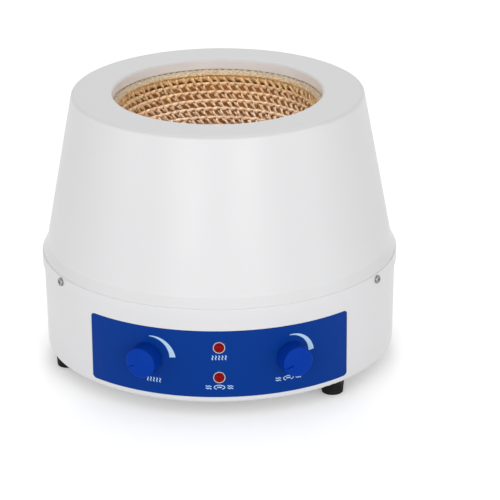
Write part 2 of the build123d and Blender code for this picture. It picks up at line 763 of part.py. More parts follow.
# ================================================================ dials
knob_foot = dial_seat + knob_gap
knob_face = knob_foot + knob_depth
shaft_end = knob_foot + knob_recess_depth + knob_bore_depth - running_clearance
for name, bearing in dial_bearings.items():
    pot_face = face_plane(bearing, pot_seat, dial_z)
    with BuildPart() as pot:
        with BuildSketch(pot_face):
            Circle(pot_radius)
        extrude(amount=-pot_depth)
        fillet(faces().sort_by_distance(pot_face.origin)[-1].edges(), pot_round)
        with BuildSketch(pot_face):
            Circle(bushing_radius)
        extrude(amount=bushing_length)
        with BuildSketch(pot_face.offset(-shaft_in_pot)):
            Circle(shaft_radius + running_clearance)
        extrude(amount=shaft_in_pot + bushing_length, mode=Mode.SUBTRACT)
    finish(pot, f"{name}_pot")

    with BuildPart() as pot_nut:
        with BuildSketch(face_plane(bearing, dial_seat, dial_z)):
            hexagon(pot_nut_flats)
            Circle(bushing_radius + thread_clearance, mode=Mode.SUBTRACT)
        extrude(amount=pot_nut_height)
    finish(pot_nut, f"{name}_pot_nut")

    flat_start = knob_foot + knob_recess_depth
    shaft_foot = pot_seat - shaft_in_pot + touch_gap
    with BuildPart() as dial_shaft:
        with BuildSketch(face_plane(bearing, shaft_foot, dial_z)):
            Circle(shaft_radius)
        extrude(amount=shaft_end - shaft_foot)
        with BuildSketch(face_plane(bearing, flat_start, dial_z)):
            with Locations((0, shaft_radius)):
                Rectangle(2 * shaft_radius, 2 * shaft_flat)
        extrude(amount=knob_bore_depth, mode=Mode.SUBTRACT)
    finish(dial_shaft, f"{name}_shaft")

    # The knob is ribbed round its side and has a smooth, slightly domed face inside a chamfer.
    with BuildPart() as knob:
        with BuildSketch(face_plane(bearing, knob_foot, dial_z)):
            Circle(knob_radius)
            with PolarLocations(knob_radius, knurl_count):
                RegularPolygon(knurl_size, 3, rotation=180, mode=Mode.SUBTRACT)
        extrude(amount=knob_depth - knob_face_edge - knob_dome)
        face_foot = knob_face - knob_face_edge - knob_dome
        cap_radius = knob_radius - knurl_size / 2
        with BuildSketch(turning_plane(bearing, dial_z)):
            with BuildLine():
                Line((0, face_foot), (cap_radius, face_foot))
                Line((cap_radius, face_foot), (cap_radius - knob_face_edge, face_foot + knob_face_edge))
                ThreePointArc(
                    (cap_radius - knob_face_edge, face_foot + knob_face_edge),
                    dome_middle(cap_radius - knob_face_edge, knob_dome, face_foot + knob_face_edge),
                    (0, knob_face),
                )
                Line((0, knob_face), (0, face_foot))
            make_face()
        revolve(axis=radial_axis(bearing, dial_z))
        with BuildSketch(face_plane(bearing, knob_foot, dial_z)):
            Circle(knob_recess_radius)
        extrude(amount=knob_recess_depth, mode=Mode.SUBTRACT)
        with BuildSketch(face_plane(bearing, flat_start, dial_z)):
            Circle(shaft_radius + thread_clearance)
            with Locations((0, shaft_radius + thread_clearance)):
                Rectangle(3 * shaft_radius, 2 * shaft_flat, mode=Mode.SUBTRACT)
        extrude(amount=knob_bore_depth, mode=Mode.SUBTRACT)
        with BuildSketch(face_plane(bearing, knob_face, dial_z)):
            with Locations(Rotation(0, 0, pointer_angle)):
                with Locations(((pointer_inner + knob_radius) / 2, 0)):
                    Rectangle(knob_radius - pointer_inner, pointer_width)
        extrude(amount=-knob_dome - pointer_depth, mode=Mode.SUBTRACT)
    finish(knob, f"{name}_knob")

# ================================================================ stirrer
with BuildPart() as motor_bracket:
    foot_end = bracket_half_span + bracket_foot_reach
    foot_top = plate_top + bracket_sheet
    foot_bend = bracket_bend - bracket_sheet
    with BuildSketch(Plane.XZ.offset(-bracket_width / 2)):
        with BuildLine():
            FilletPolyline(
                (-foot_end, foot_top),
                (-bracket_half_span, foot_top),
                (-bracket_half_span, bracket_top),
                (bracket_half_span, bracket_top),
                (bracket_half_span, foot_top),
                (foot_end, foot_top),
                radius=[foot_bend, bracket_bend, bracket_bend, foot_bend],
            )
            offset(amount=bracket_sheet, side=Side.RIGHT, closed=True)
        make_face()
    extrude(amount=bracket_width)
    with BuildSketch(Plane.XY.offset(motor_top)):
        Circle(bearing_radius + thread_clearance)
        with GridLocations(1, 2 * motor_screw_offset, 1, 2):
            Circle(motor_screw_radius + screw_clearance)
    extrude(amount=bracket_sheet, mode=Mode.SUBTRACT)
    with BuildSketch(Plane.XY.offset(plate_top)):
        with GridLocations(2 * bracket_screw_x, bracket_screw_pitch, 2, 2):
            Circle(motor_screw_radius + screw_clearance)
    extrude(amount=bracket_sheet, mode=Mode.SUBTRACT)
finish(motor_bracket, "motor_bracket")

with BuildPart() as bracket_screws:
    with BuildSketch(Plane.XY.offset(foot_top)):
        with GridLocations(2 * bracket_screw_x, bracket_screw_pitch, 2, 2):
            Circle(motor_screw_head)
    extrude(amount=motor_screw_head_height)
    with BuildSketch(Plane.XY.offset(foot_top)):
        with GridLocations(2 * bracket_screw_x, bracket_screw_pitch, 2, 2):
            Circle(motor_screw_radius)
    extrude(amount=-bracket_sheet - plate_thickness - thread_end)
finish(bracket_screws, "bracket_screws")

with BuildPart() as motor_can:
    with BuildSketch(Plane.XY.offset(motor_top)):
        Circle(motor_radius)
    extrude(amount=-motor_height)
    fillet(edges().filter_by(GeomType.CIRCLE), motor_round)
    with BuildSketch(Plane.XY.offset(motor_top)):
        Circle(motor_shaft_radius + running_clearance)
    extrude(amount=-motor_bore_depth, mode=Mode.SUBTRACT)
    with BuildSketch(Plane.XY.offset(motor_top)):
        with GridLocations(1, 2 * motor_screw_offset, 1, 2):
            Circle(motor_screw_radius + thread_clearance)
    extrude(amount=-motor_screw_grip, mode=Mode.SUBTRACT)
finish(motor_can, "motor_can")

with BuildPart() as motor_screws:
    with BuildSketch(Plane.XY.offset(bracket_top)):
        with GridLocations(1, 2 * motor_screw_offset, 1, 2):
            Circle(motor_screw_head)
    extrude(amount=motor_screw_head_height)
    with BuildSketch(Plane.XY.offset(bracket_top)):
        with GridLocations(1, 2 * motor_screw_offset, 1, 2):
            Circle(motor_screw_radius)
    extrude(amount=-bracket_sheet - motor_screw_grip + thread_end)
finish(motor_screws, "motor_screws")

with BuildPart() as motor_bearing:
    with BuildSketch(Plane.XY.offset(motor_top)):
        Circle(bearing_radius)
    extrude(amount=bracket_sheet)
    with BuildSketch(Plane.XY.offset(bracket_top)):
        Circle(bearing_flange_radius)
    extrude(amount=bearing_flange_height)
    with BuildSketch(Plane.XY.offset(motor_top)):
        Circle(motor_shaft_radius + running_clearance)
    extrude(amount=bracket_sheet + bearing_flange_height, mode=Mode.SUBTRACT)
finish(motor_bearing, "motor_bearing")

shaft_foot_z = motor_top - motor_bore_depth + touch_gap
with BuildPart() as motor_shaft:
    with BuildSketch(Plane.XY.offset(shaft_foot_z)):
        Circle(motor_shaft_radius)
    extrude(amount=arm_top - shaft_foot_z)
    chamfer(edges().group_by(Axis.Z)[-1], motor_shaft_chamfer)
finish(motor_shaft, "motor_shaft")

with BuildPart() as magnet_arm:
    with BuildSketch(Plane.XY.offset(arm_top)):
        SlotOverall(arm_length, arm_width)
    extrude(amount=-arm_thickness)
    with BuildSketch(Plane.XY.offset(hub_z)):
        Circle(hub_radius)
    extrude(amount=hub_height)
    with BuildSketch(Plane.XY.offset(hub_z)):
        Circle(motor_shaft_radius + thread_clearance)
    extrude(amount=hub_height + arm_thickness, mode=Mode.SUBTRACT)
    with BuildSketch(face_plane(0, hub_radius, hub_z + hub_height / 2)):
        Circle(arm_screw_radius + thread_clearance)
    extrude(amount=-hub_radius, mode=Mode.SUBTRACT)
finish(magnet_arm, "magnet_arm")

arm_screw_end = motor_shaft_radius + thread_clearance
with BuildPart() as arm_screw:
    with BuildSketch(face_plane(0, arm_screw_end, hub_z + hub_height / 2)):
        Circle(arm_screw_radius)
    extrude(amount=hub_radius - arm_screw_end - touch_gap)
finish(arm_screw, "arm_screw")

with BuildPart() as stir_magnets:
    with BuildSketch(Plane.XY.offset(arm_top)):
        with GridLocations(2 * magnet_offset, 1, 2, 1):
            Circle(magnet_radius)
    extrude(amount=magnet_height)
finish(stir_magnets, "stir_magnets")

# ================================================================ mains inlet
with BuildPart() as mains_inlet:
    with BuildSketch(inlet_plane):
        RectangleRounded(inlet_flange_width, inlet_flange_height, inlet_corner)
        with GridLocations(inlet_screw_spacing, 1, 2, 1):
            Circle(inlet_screw_radius + screw_clearance, mode=Mode.SUBTRACT)
    extrude(amount=inlet_flange)
    with BuildSketch(inlet_plane):
        Rectangle(inlet_body_width, inlet_body_height)
    extrude(amount=-inlet_body_depth)
    with BuildSketch(inlet_plane.offset(inlet_flange)):
        with Locations((0, socket_offset)):
            Rectangle(socket_width, socket_height)
        chamfer(vertices().group_by(Axis.Y)[-1], socket_chamfer)
    extrude(amount=-socket_depth, mode=Mode.SUBTRACT)
    with BuildSketch(inlet_plane.offset(inlet_flange)):
        with Locations((0, drawer_offset)):
            Rectangle(drawer_width + 2 * drawer_clearance, drawer_height + 2 * drawer_clearance)
    extrude(amount=-drawer_length - drawer_clearance, mode=Mode.SUBTRACT)
    with BuildSketch(inlet_plane.offset(inlet_flange - socket_depth)):
        for place in pin_places:
            with Locations(place):
                Rectangle(pin_width + 2 * thread_clearance, pin_thickness + 2 * thread_clearance)
    extrude(amount=-inlet_body_depth, mode=Mode.SUBTRACT)
finish(mains_inlet, "mains_inlet")

with BuildPart() as inlet_pins:
    with BuildSketch(inlet_plane.offset(inlet_flange - pin_recess)):
        for place in pin_places:
            with Locations(place):
                Rectangle(pin_width, pin_thickness)
    extrude(amount=-inlet_flange + pin_recess - inlet_body_depth - pin_tail)
finish(inlet_pins, "inlet_pins")

with BuildPart() as inlet_screws:
    with BuildSketch(inlet_plane.offset(inlet_flange)):
        with GridLocations(inlet_screw_spacing, 1, 2, 1):
            Circle(inlet_screw_head)
    extrude(amount=inlet_screw_head_height)
    with BuildSketch(inlet_plane.offset(inlet_flange)):
        with GridLocations(inlet_screw_spacing, 1, 2, 1):
            Circle(inlet_screw_radius)
    extrude(amount=-inlet_flange - pad_depth - inlet_nut_height - thread_end)
finish(inlet_screws, "inlet_screws")

with BuildPart() as inlet_nuts:
    with BuildSketch(inlet_plane.offset(-pad_depth)):
        with GridLocations(inlet_screw_spacing, 1, 2, 1):
            hexagon(inlet_nut_flats)
            Circle(inlet_screw_radius + thread_clearance, mode=Mode.SUBTRACT)
    extrude(amount=-inlet_nut_height)
finish(inlet_nuts, "inlet_nuts")

# The fuse lies across a cradle in the drawer, which pulls straight out.
with BuildPart() as fuse_drawer:
    with BuildSketch(inlet_plane.offset(inlet_flange + drawer_clearance)):
        with Locations((0, drawer_offset)):
            RectangleRounded(drawer_face_width, drawer_face_height, drawer_clearance * 3)
    extrude(amount=drawer_face_thickness)
    with BuildSketch(inlet_plane.offset(inlet_flange + drawer_clearance)):
        with Locations((0, drawer_offset)):
            Rectangle(drawer_width, drawer_height)
    extrude(amount=-drawer_length)
    with BuildSketch(fuse_plane):
        Rectangle(fuse_length + 2 * drawer_clearance, 2 * (fuse_radius + thread_clearance))
    extrude(amount=drawer_height, mode=Mode.SUBTRACT)
    with BuildSketch(fuse_end_plane):
        Circle(fuse_radius + thread_clearance)
    extrude(amount=-fuse_length - 2 * drawer_clearance, mode=Mode.SUBTRACT)
finish(fuse_drawer, "fuse_drawer")

with BuildPart() as fuse:
    with BuildSketch(fuse_end_plane.offset(-drawer_clearance)):
        Circle(fuse_radius)
    extrude(amount=-fuse_length)
finish(fuse, "fuse")

# ================================================================ electronics
board_z = plate_top + standoff_height
board_top = board_z + board_thickness
board_x = board_margin + board_width / 2 - plate_radius
board_centre = (board_x, board_y)
board_hole_x = board_width / 2 - standoff_inset
board_hole_y = board_length / 2 - standoff_inset
board_corners = [
    (board_x + side * board_hole_x, board_y + end * board_hole_y)
    for side in (-1, 1)
    for end in (-1, 1)
]

with BuildPart() as board_standoffs:
    with BuildSketch(Plane.XY.offset(plate_top)):
        with Locations(*board_corners):
            Circle(standoff_radius)
            Circle(board_screw_radius + thread_clearance, mode=Mode.SUBTRACT)
    extrude(amount=standoff_height)
finish(board_standoffs, "board_standoffs")

with BuildPart() as control_board:
    with BuildSketch(Plane.XY.offset(board_z)):
        with Locations(board_centre):
            Rectangle(board_width, board_length)
        with Locations(*board_corners):
            Circle(board_screw_radius + screw_clearance, mode=Mode.SUBTRACT)
    extrude(amount=board_thickness)
finish(control_board, "control_board")

with BuildPart() as board_screws:
    with BuildSketch(Plane.XY.offset(board_top)):
        with Locations(*board_corners):
            Circle(board_screw_head)
    extrude(amount=board_screw_head_height)
    with BuildSketch(Plane.XY.offset(board_top)):
        with Locations(*board_corners):
            Circle(board_screw_radius)
    extrude(amount=-board_screw_length)
finish(board_screws, "board_screws")

sink_x = board_x + sink_shift_x
sink_y = board_y + sink_shift_y
with BuildPart() as heat_sink:
    fin_pitch = (sink_width - sink_fin) / (sink_fin_count - 1)
    with BuildSketch(Plane.XZ.offset(-sink_y - sink_length / 2)):
        with Locations((sink_x, board_top)):
            Rectangle(sink_width, sink_base, align=(Align.CENTER, Align.MIN))
        with Locations((sink_x, board_top + sink_height / 2)):
            with GridLocations(fin_pitch, 1, sink_fin_count, 1):
                Rectangle(sink_fin, sink_height)
    extrude(amount=sink_length)
finish(heat_sink, "heat_sink")

with BuildPart() as triac:
    with BuildSketch(Plane.YZ.offset(sink_x + sink_width / 2)):
        with Locations((sink_y, board_top + triac_lead + triac_height / 2)):
            Rectangle(triac_width, triac_height)
    extrude(amount=triac_thickness)
    with BuildSketch(Plane.XY.offset(board_top)):
        with Locations((sink_x + sink_width / 2 + triac_thickness / 2, sink_y)):
            with GridLocations(1, triac_lead_pitch, 1, 3):
                Rectangle(triac_lead_width, triac_lead_width)
    extrude(amount=triac_lead)
finish(triac, "triac")

with BuildPart() as capacitor:
    with BuildSketch(Plane.XY.offset(board_top)):
        with Locations((board_x + capacitor_shift_x, board_y + capacitor_shift_y)):
            Circle(capacitor_radius)
    extrude(amount=capacitor_height)
    fillet(edges().group_by(Axis.Z)[-1], capacitor_round)
finish(capacitor, "capacitor")

with BuildPart() as terminal_block:
    block_centre = (board_x + block_shift_x, board_y + block_shift_y)
    with BuildSketch(Plane.XY.offset(board_top)):
        with Locations(block_centre):
            Rectangle(block_width, block_length)
    extrude(amount=block_height)
    with BuildSketch(Plane.XY.offset(board_top + block_height)):
        with Locations(block_centre):
            with GridLocations(1, block_length / block_ways, 1, block_ways):
                Circle(block_hole_radius)
    extrude(amount=-block_hole_depth, mode=Mode.SUBTRACT)
finish(terminal_block, "terminal_block")
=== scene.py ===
import json
from math import atan2, cos, pi, radians, sin

import bmesh
import bpy
import numpy as np
from bpy.props import FloatProperty, FloatVectorProperty, IntProperty, PointerProperty
from mathutils import Euler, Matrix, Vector


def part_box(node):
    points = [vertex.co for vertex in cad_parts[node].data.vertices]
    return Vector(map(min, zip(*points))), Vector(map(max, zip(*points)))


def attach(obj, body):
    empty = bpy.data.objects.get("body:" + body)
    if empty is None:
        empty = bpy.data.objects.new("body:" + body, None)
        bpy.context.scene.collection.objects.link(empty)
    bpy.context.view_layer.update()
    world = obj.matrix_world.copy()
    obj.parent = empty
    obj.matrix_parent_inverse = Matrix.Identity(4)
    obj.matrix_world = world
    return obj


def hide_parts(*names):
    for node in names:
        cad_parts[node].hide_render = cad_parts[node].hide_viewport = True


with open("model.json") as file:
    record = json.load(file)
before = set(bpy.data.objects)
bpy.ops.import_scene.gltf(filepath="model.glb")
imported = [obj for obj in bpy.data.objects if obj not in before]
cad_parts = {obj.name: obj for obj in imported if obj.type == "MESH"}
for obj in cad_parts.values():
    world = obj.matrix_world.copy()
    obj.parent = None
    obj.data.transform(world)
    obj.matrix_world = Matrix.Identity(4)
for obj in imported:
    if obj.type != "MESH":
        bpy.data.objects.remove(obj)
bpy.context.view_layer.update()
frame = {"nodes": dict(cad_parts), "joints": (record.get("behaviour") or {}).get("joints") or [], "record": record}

bl_info = {
    "name": "Heating mantle",
    "version": (1, 0, 0),
    "blender": (4, 5, 0),
    "location": "View3D > Sidebar > Mantle",
    "description": "Finishes, woven nest, panel print and studio for a heating mantle",
    "category": "Object",
}

MM = 0.001


def named(rows, name):
    """The row of a list that has this name."""
    return next(row for row in rows if row["name"] == name)


NEST_CENTRE = Vector((0, 0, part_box("heating_nest")[1].z))
NEST_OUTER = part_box("heating_nest")[1].x
HEM_LOW, HEM_HIGH = (corner.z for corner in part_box("nest_hem"))
HEM_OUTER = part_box("nest_hem")[1].x
COLLAR_RADIUS = named(frame["record"]["mounts"], "flask_collar")["dims"]["r_mm"] * MM
DIAL_HEIGHT = named(frame["joints"], "heat_turn")["pos_m"][2]
DIAL_AXIS = named(frame["joints"], "stir_turn")["axis"]
DIAL_BEARING = atan2(-DIAL_AXIS[0], DIAL_AXIS[1])
PANEL_LOW, PANEL_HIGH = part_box("control_panel")
BASE_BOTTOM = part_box("lower_shell")[0].z
ROWS = 18
PER_STITCH = 6  # points of the cloth and of a cord for each stitch
FIRST_ROW = NEST_OUTER * sin(pi / 2 / ROWS)  # how deep the first row of stitches reaches

# Printed signs: centre height over the base's bottom, size, and place to the right of the centre.
HEAT_LAMP_SIGN = 40.3 * MM, 3.9 * MM, 0.0
STIR_LAMP_SIGN = 14.1 * MM, 4.1 * MM, 0.0
HEAT_DIAL_SIGN = 17.4 * MM, 3.9 * MM, 5.5 * MM
STIR_DIAL_SIGN = 17.4 * MM, 4.1 * MM, -2.5 * MM
HEAT_ARC_OFFSET = 2.9 * MM, 1.9 * MM
STIR_ARC_OFFSET = -1.0 * MM, 1.5 * MM
ARC_THIN, ARC_WIDE = 0.5 * MM, 5.0 * MM
ARC_INNER, ARC_OUTER = 17.2, 19.0  # millimetres from the dial's axis at the arc's start and end
INK_LOW, INK_HIGH = 0.02 * MM, 0.09 * MM  # the ink's two faces over the film

# Studio.
SHADOW_REACH = 0.035  # how close a thing has to be above the floor to shade its glow
SHADOW_GLOW = 0.45  # share of the glow that is left where the sky is fully covered
FLOOR_RADIUS, FLOOR_SIDES = 6, 64
LAMP_SIZE = 0.9
LAMP_AIM = Vector((0, 0, 0.12))
NEST_LAMP_PLACE = (0, -0.4, 1.55)
NEST_BEAM = 0.92  # share of the collar's opening that the beam fills
NEST_BEAM_BLEND = 0.15
NEST_LAMP_RADIUS = 0.01


# ---- sizes and colours
def number_setting(name, description, default, **kind):
    """Number that can be changed in the sidebar."""
    return FloatProperty(name=name, description=description, default=default, **kind)


def length_setting(name, description, metres):
    """Length that can be changed in the sidebar."""
    return number_setting(name, description, metres, unit="LENGTH")


def angle_setting(name, description, degrees):
    """Angle that can be changed in the sidebar."""
    return number_setting(name, description, radians(degrees), subtype="ANGLE")


def power_setting(name, description, watts):
    """Power that can be changed in the sidebar."""
    return number_setting(name, description, watts, unit="POWER")


def colour_setting(name, description, *colour):
    """Colour that can be changed in the sidebar."""
    return FloatVectorProperty(
        name=name, description=description, subtype="COLOR", size=4, default=(*colour, 1)
    )


class NestSizes(bpy.types.PropertyGroup):
    """Sizes of the woven nest."""

    flask_radius: length_setting("Flask radius", "Radius of the bulb that the nest takes", 83 * MM)
    rows: IntProperty(name="Rows", description="Rows of stitches from hem to bottom", default=ROWS)
    cells: IntProperty(name="Stitches", description="Stitches in the widest row", default=72)
    cord: length_setting("Row cord", "Radius of the cord between two rows", 1.3 * MM)
    yarn: length_setting("Yarn", "Radius of the yarn of one stitch", 1.05 * MM)
    pocket: length_setting("Pocket", "Depth of the hollow inside a stitch", 2.3 * MM)
    lean: number_setting("Lean", "How far a stitch leans to the right on its way down, in stitches", 0.55)
    tuft: number_setting("Tuft", "Share of the first row that its tufts cover", 0.62)


class FinishColours(bpy.types.PropertyGroup):
    """Colours that can be changed."""

    housing: colour_setting("Housing", "Moulded cover and base", 0.83, 0.83, 0.84)
    panel: colour_setting("Panel", "Film on the control panel", 0.0015, 0.043, 0.29)
    knob: colour_setting("Knobs", "Moulded dials", 0.001, 0.045, 0.39)
    print_ink: colour_setting("Print", "Marks on the panel", 0.5, 0.72, 0.95)
    lens: colour_setting("Lamp", "Lenses of the lamps", 0.33, 0.0004, 0.002)
    cream: colour_setting("Cream yarn", "Cords and loops of the nest", 0.96, 0.75, 0.59)
    brown: colour_setting("Brown cloth", "Cloth inside the stitches", 0.72, 0.36, 0.165)
    gold: colour_setting("Gold yarn", "Yarn under the hem", 0.98, 0.6, 0.28)
    hem: colour_setting("Hem", "Woven tape round the nest's mouth", 0.95, 0.78, 0.58)


class StudioSettings(bpy.types.PropertyGroup):
    """Light and camera."""

    sky: number_setting("Sky", "Strength of the even light", 0.5)
    lamp: power_setting("Front lamps", "Power of each front lamp", 10.0)
    side_lamp: power_setting("Side lamps", "Power of each lamp at the sides", 4.6)
    back_lamp: power_setting("Back lamp", "Power of the high lamp behind", 17.0)
    bearing: angle_setting("Lamp bearing", "How far each front lamp stands to the side", 20)
    side_bearing: angle_setting("Side bearing", "How far round the side lamps stand", 68)
    height: length_setting("Lamp height", "Height of the front and side lamps", 0.52)
    back_height: length_setting("Back height", "Height of the lamp behind", 2.4)
    reach: length_setting("Lamp distance", "From the lamps to the body's axis", 2.4)
    nest_lamp: power_setting("Nest lamp", "Power of the narrow lamp that shines into the nest", 72.0)
    floor_glow: number_setting("Floor glow", "White that the floor shows on top of its own light", 0.48)
    distance: length_setting("Camera distance", "From the camera to the body's axis", 2.308601)
    aim: length_setting("Aim height", "Height looked at", 0.1236)
    pitch: angle_setting("Pitch", "How far the camera looks down", 20.371)
    turn: angle_setting("Turn", "How far round to the right the camera stands", 0.5)
    roll: angle_setting("Roll", "Camera turned about its view", -0.672)
    lens: number_setting("Lens", "Focal length in millimetres", 196.479)
    shift_x: number_setting("Shift across", "Camera shift", 0.06197)
    shift_y: number_setting("Shift up", "Camera shift", -0.07771)


# ---- meshes
def grid_faces(across, along, wrap_across, wrap_along):
    """Corner indices of the quads of a grid, and each corner's own grid place for its UV."""
    i, j = np.meshgrid(
        np.arange(across if wrap_across else across - 1),
        np.arange(along if wrap_along else along - 1),
        indexing="ij",
    )
    steps = [(0, 0), (1, 0), (1, 1), (0, 1)]
    faces = np.stack([(i + a) % across * along + (j + b) % along for a, b in steps], -1)
    places = np.stack([np.stack([i + a, j + b], -1) for a, b in steps], -2)
    return faces.reshape(-1, 4), places.reshape(-1, 4, 2).astype(float)


def make_object(name, points, faces, places, material, smooth=True):
    """Mesh object at the origin from points, quads and the UV place of each quad's corners."""
    mesh = bpy.data.meshes.new(name)
    mesh.vertices.add(len(points))
    mesh.vertices.foreach_set("co", points.astype(np.float32).ravel())
    mesh.loops.add(faces.size)
    mesh.loops.foreach_set("vertex_index", faces.astype(np.int32).ravel())
    mesh.polygons.add(len(faces))
    mesh.polygons.foreach_set("loop_start", np.arange(0, faces.size, 4, dtype=np.int32))
    mesh.update(calc_edges=True)
    layer = mesh.uv_layers.new(name="thread")
    layer.data.foreach_set("uv", places.astype(np.float32).ravel())
    close_poles(mesh)
    mesh.polygons.foreach_set("use_smooth", np.full(len(mesh.polygons), smooth))
    mesh.materials.append(material)
    made = bpy.data.objects.new(name, mesh)
    bpy.context.scene.collection.objects.link(made)
    return made


def make_joined(name, parts, material, smooth=True):
    """One object from several grids, each given as its points, quads and UV places."""
    points, faces, places = zip(*parts)
    firsts = np.cumsum([0, *map(len, points[:-1])])
    faces = np.concatenate([part + first for part, first in zip(faces, firsts)])
    return make_object(name, np.concatenate(points), faces, np.concatenate(places), material, smooth)


def close_poles(mesh):
    """Merge the points that meet at a pole or a tip, and turn every face outwards."""
    work = bmesh.new()
    work.from_mesh(mesh)
    bmesh.ops.remove_doubles(work, verts=work.verts, dist=1e-6)
    bmesh.ops.recalc_face_normals(work, faces=work.faces)
    work.to_mesh(mesh)
    work.free()


def revolved(name, radius, height, turns, material, uv_scale):
    """Closed profile turned about Z: point = (radius sin a, -radius cos a, height), where radius and
    height are arrays of profile place by turn angle."""
    angle = np.linspace(0, 2 * pi, turns, endpoint=False)[None, :]
    points = np.stack([radius * np.sin(angle), -radius * np.cos(angle), height + 0 * angle], -1)
    faces, places = grid_faces(radius.shape[0], turns, True, True)
    return make_object(name, points.reshape(-1, 3), faces, places * uv_scale, material)


def tube_points(paths, thickness, sides, closed):
    """Rings of points along many paths at once: centre + thickness (cos a N + sin a B), where N points
    from the path towards the nest's centre and B is at right angles to N and the path."""
    if closed:
        tangent = np.roll(paths, -1, 1) - np.roll(paths, 1, 1)
    else:
        tangent = np.gradient(paths, axis=1)
    tangent /= np.linalg.norm(tangent, axis=-1, keepdims=True)
    inwards = np.array(NEST_CENTRE) - paths
    inwards -= np.sum(inwards * tangent, -1, keepdims=True) * tangent
    inwards /= np.linalg.norm(inwards, axis=-1, keepdims=True)
    beside = np.cross(tangent, inwards)
    around = np.linspace(0, 2 * pi, sides, endpoint=False)
    ring = np.cos(around)[:, None] * inwards[:, :, None] + np.sin(around)[:, None] * beside[:, :, None]
    return paths[:, :, None] + thickness[:, :, None, None] * ring


def swept(name, paths, thickness, sides, material):
    """Open tubes along many paths, as one piece. Each strand starts at its own place in the UV, so
    that no two are alike."""
    strands, steps = paths.shape[:2]
    points = tube_points(paths, thickness, sides, False)
    faces, places = grid_faces(steps, sides, False, True)
    number = np.arange(strands)[:, None, None]
    all_faces = (faces[None] + number * steps * sides).reshape(-1, 4)
    all_places = np.broadcast_to(places, (strands, *places.shape)).copy()
    all_places[..., 0] += number * 7
    return make_object(name, points.reshape(-1, 3), all_faces, all_places.reshape(-1, 4, 2), material)


def nest_point(depression, turn, radius):
    """Point inside the nest: depression is the angle below the widest row, turn the bearing."""
    level = radius * np.cos(depression)
    height = NEST_CENTRE.z - radius * np.sin(depression)
    return np.stack([level * np.sin(turn), -level * np.cos(turn), height], -1)


def row_angle(nest):
    """Angle at the nest's centre that one row of stitches takes up."""
    return pi / 2 / nest.rows


def row_cells(nest):
    """How many stitches each row has: the widest row's count times the cosine of its depression."""
    middle = (np.arange(nest.rows) + 0.5) * pi / 2 / nest.rows
    return np.maximum(np.rint(nest.cells * np.cos(middle)).astype(int), 6)


def ride_in_housing(piece, slot, *nodes):
    """Fix a piece to the housing and let it stand for the nodes, which are hidden. The slot is not used."""
    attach(piece, "housing")
    if nodes:
        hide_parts(*nodes)


# ---- finishes
class Finish:
    """A material whose nodes are added one by one round a Principled shader."""

    def __init__(self, name, colour, roughness, **values):
        self.material = bpy.data.materials.new(name)
        self.material.use_nodes = True
        self.material.diffuse_color = (*colour[:3], 1)
        self.tree = self.material.node_tree
        self.shader = self.tree.nodes["Principled BSDF"]
        self.shader.inputs["Base Color"].default_value = (*colour[:3], 1)
        self.shader.inputs["Roughness"].default_value = roughness
        for socket, value in values.items():
            self.shader.inputs[socket.replace("_", " ")].default_value = value
        self.place = self.node("ShaderNodeTexCoord").outputs["Object"]
        self.normal = None

    def node(self, kind, **settings):
        made = self.tree.nodes.new(kind)
        for name, value in settings.items():
            setattr(made, name, value)
        return made

    def feed(self, socket, value):
        """Link an output, or set a plain number or colour."""
        if isinstance(value, bpy.types.NodeSocket):
            self.tree.links.new(value, socket)
        else:
            socket.default_value = value

    def stretched(self, scale):
        made = self.node("ShaderNodeMapping")
        self.feed(made.inputs["Vector"], self.place)
        made.inputs["Scale"].default_value = scale
        return made.outputs["Vector"]

    def noise(self, scale, detail=2.0, source=None, roughness=0.5):
        made = self.node("ShaderNodeTexNoise")
        self.feed(made.inputs["Vector"], source or self.place)
        made.inputs["Scale"].default_value = scale
        made.inputs["Detail"].default_value = detail
        made.inputs["Roughness"].default_value = roughness
        return made.outputs["Fac"]

    def wave(self, scale, source=None, direction="X", distortion=0.0):
        made = self.node("ShaderNodeTexWave", bands_direction=direction)
        self.feed(made.inputs["Vector"], source or self.place)
        made.inputs["Scale"].default_value = scale
        made.inputs["Distortion"].default_value = distortion
        return made.outputs["Fac"]

    def cells(self, scale):
        made = self.node("ShaderNodeTexVoronoi")
        self.feed(made.inputs["Vector"], self.place)
        made.inputs["Scale"].default_value = scale
        return made.outputs["Distance"]

    def math(self, operation, a, b):
        made = self.node("ShaderNodeMath", operation=operation)
        self.feed(made.inputs[0], a)
        self.feed(made.inputs[1], b)
        return made.outputs[0]

    def spread(self, value, low, high, to_low=0.0, to_high=1.0):
        made = self.node("ShaderNodeMapRange")
        self.feed(made.inputs["Value"], value)
        for name, number in zip(("From Min", "From Max", "To Min", "To Max"), (low, high, to_low, to_high)):
            made.inputs[name].default_value = number
        return made.outputs["Result"]

    def blend(self, amount, first, second):
        made = self.node("ShaderNodeMix", data_type="RGBA")
        self.feed(made.inputs[0], amount)
        for socket, value in ((made.inputs[6], first), (made.inputs[7], second)):
            self.feed(socket, value if isinstance(value, bpy.types.NodeSocket) else (*value[:3], 1))
        return made.outputs[2]

    def bump(self, height, strength, distance):
        made = self.node("ShaderNodeBump")
        made.inputs["Strength"].default_value = strength
        made.inputs["Distance"].default_value = distance
        self.feed(made.inputs["Height"], height)
        if self.normal:
            self.tree.links.new(self.normal, made.inputs["Normal"])
        self.normal = made.outputs["Normal"]
        self.feed(self.shader.inputs["Normal"], self.normal)

    def colour(self, value):
        self.feed(self.shader.inputs["Base Color"], value)

    def roughness(self, value):
        self.feed(self.shader.inputs["Roughness"], value)


def shade(colour, factor):
    """A colour made lighter or darker."""
    return tuple(min(1.0, part * factor) for part in colour[:3])


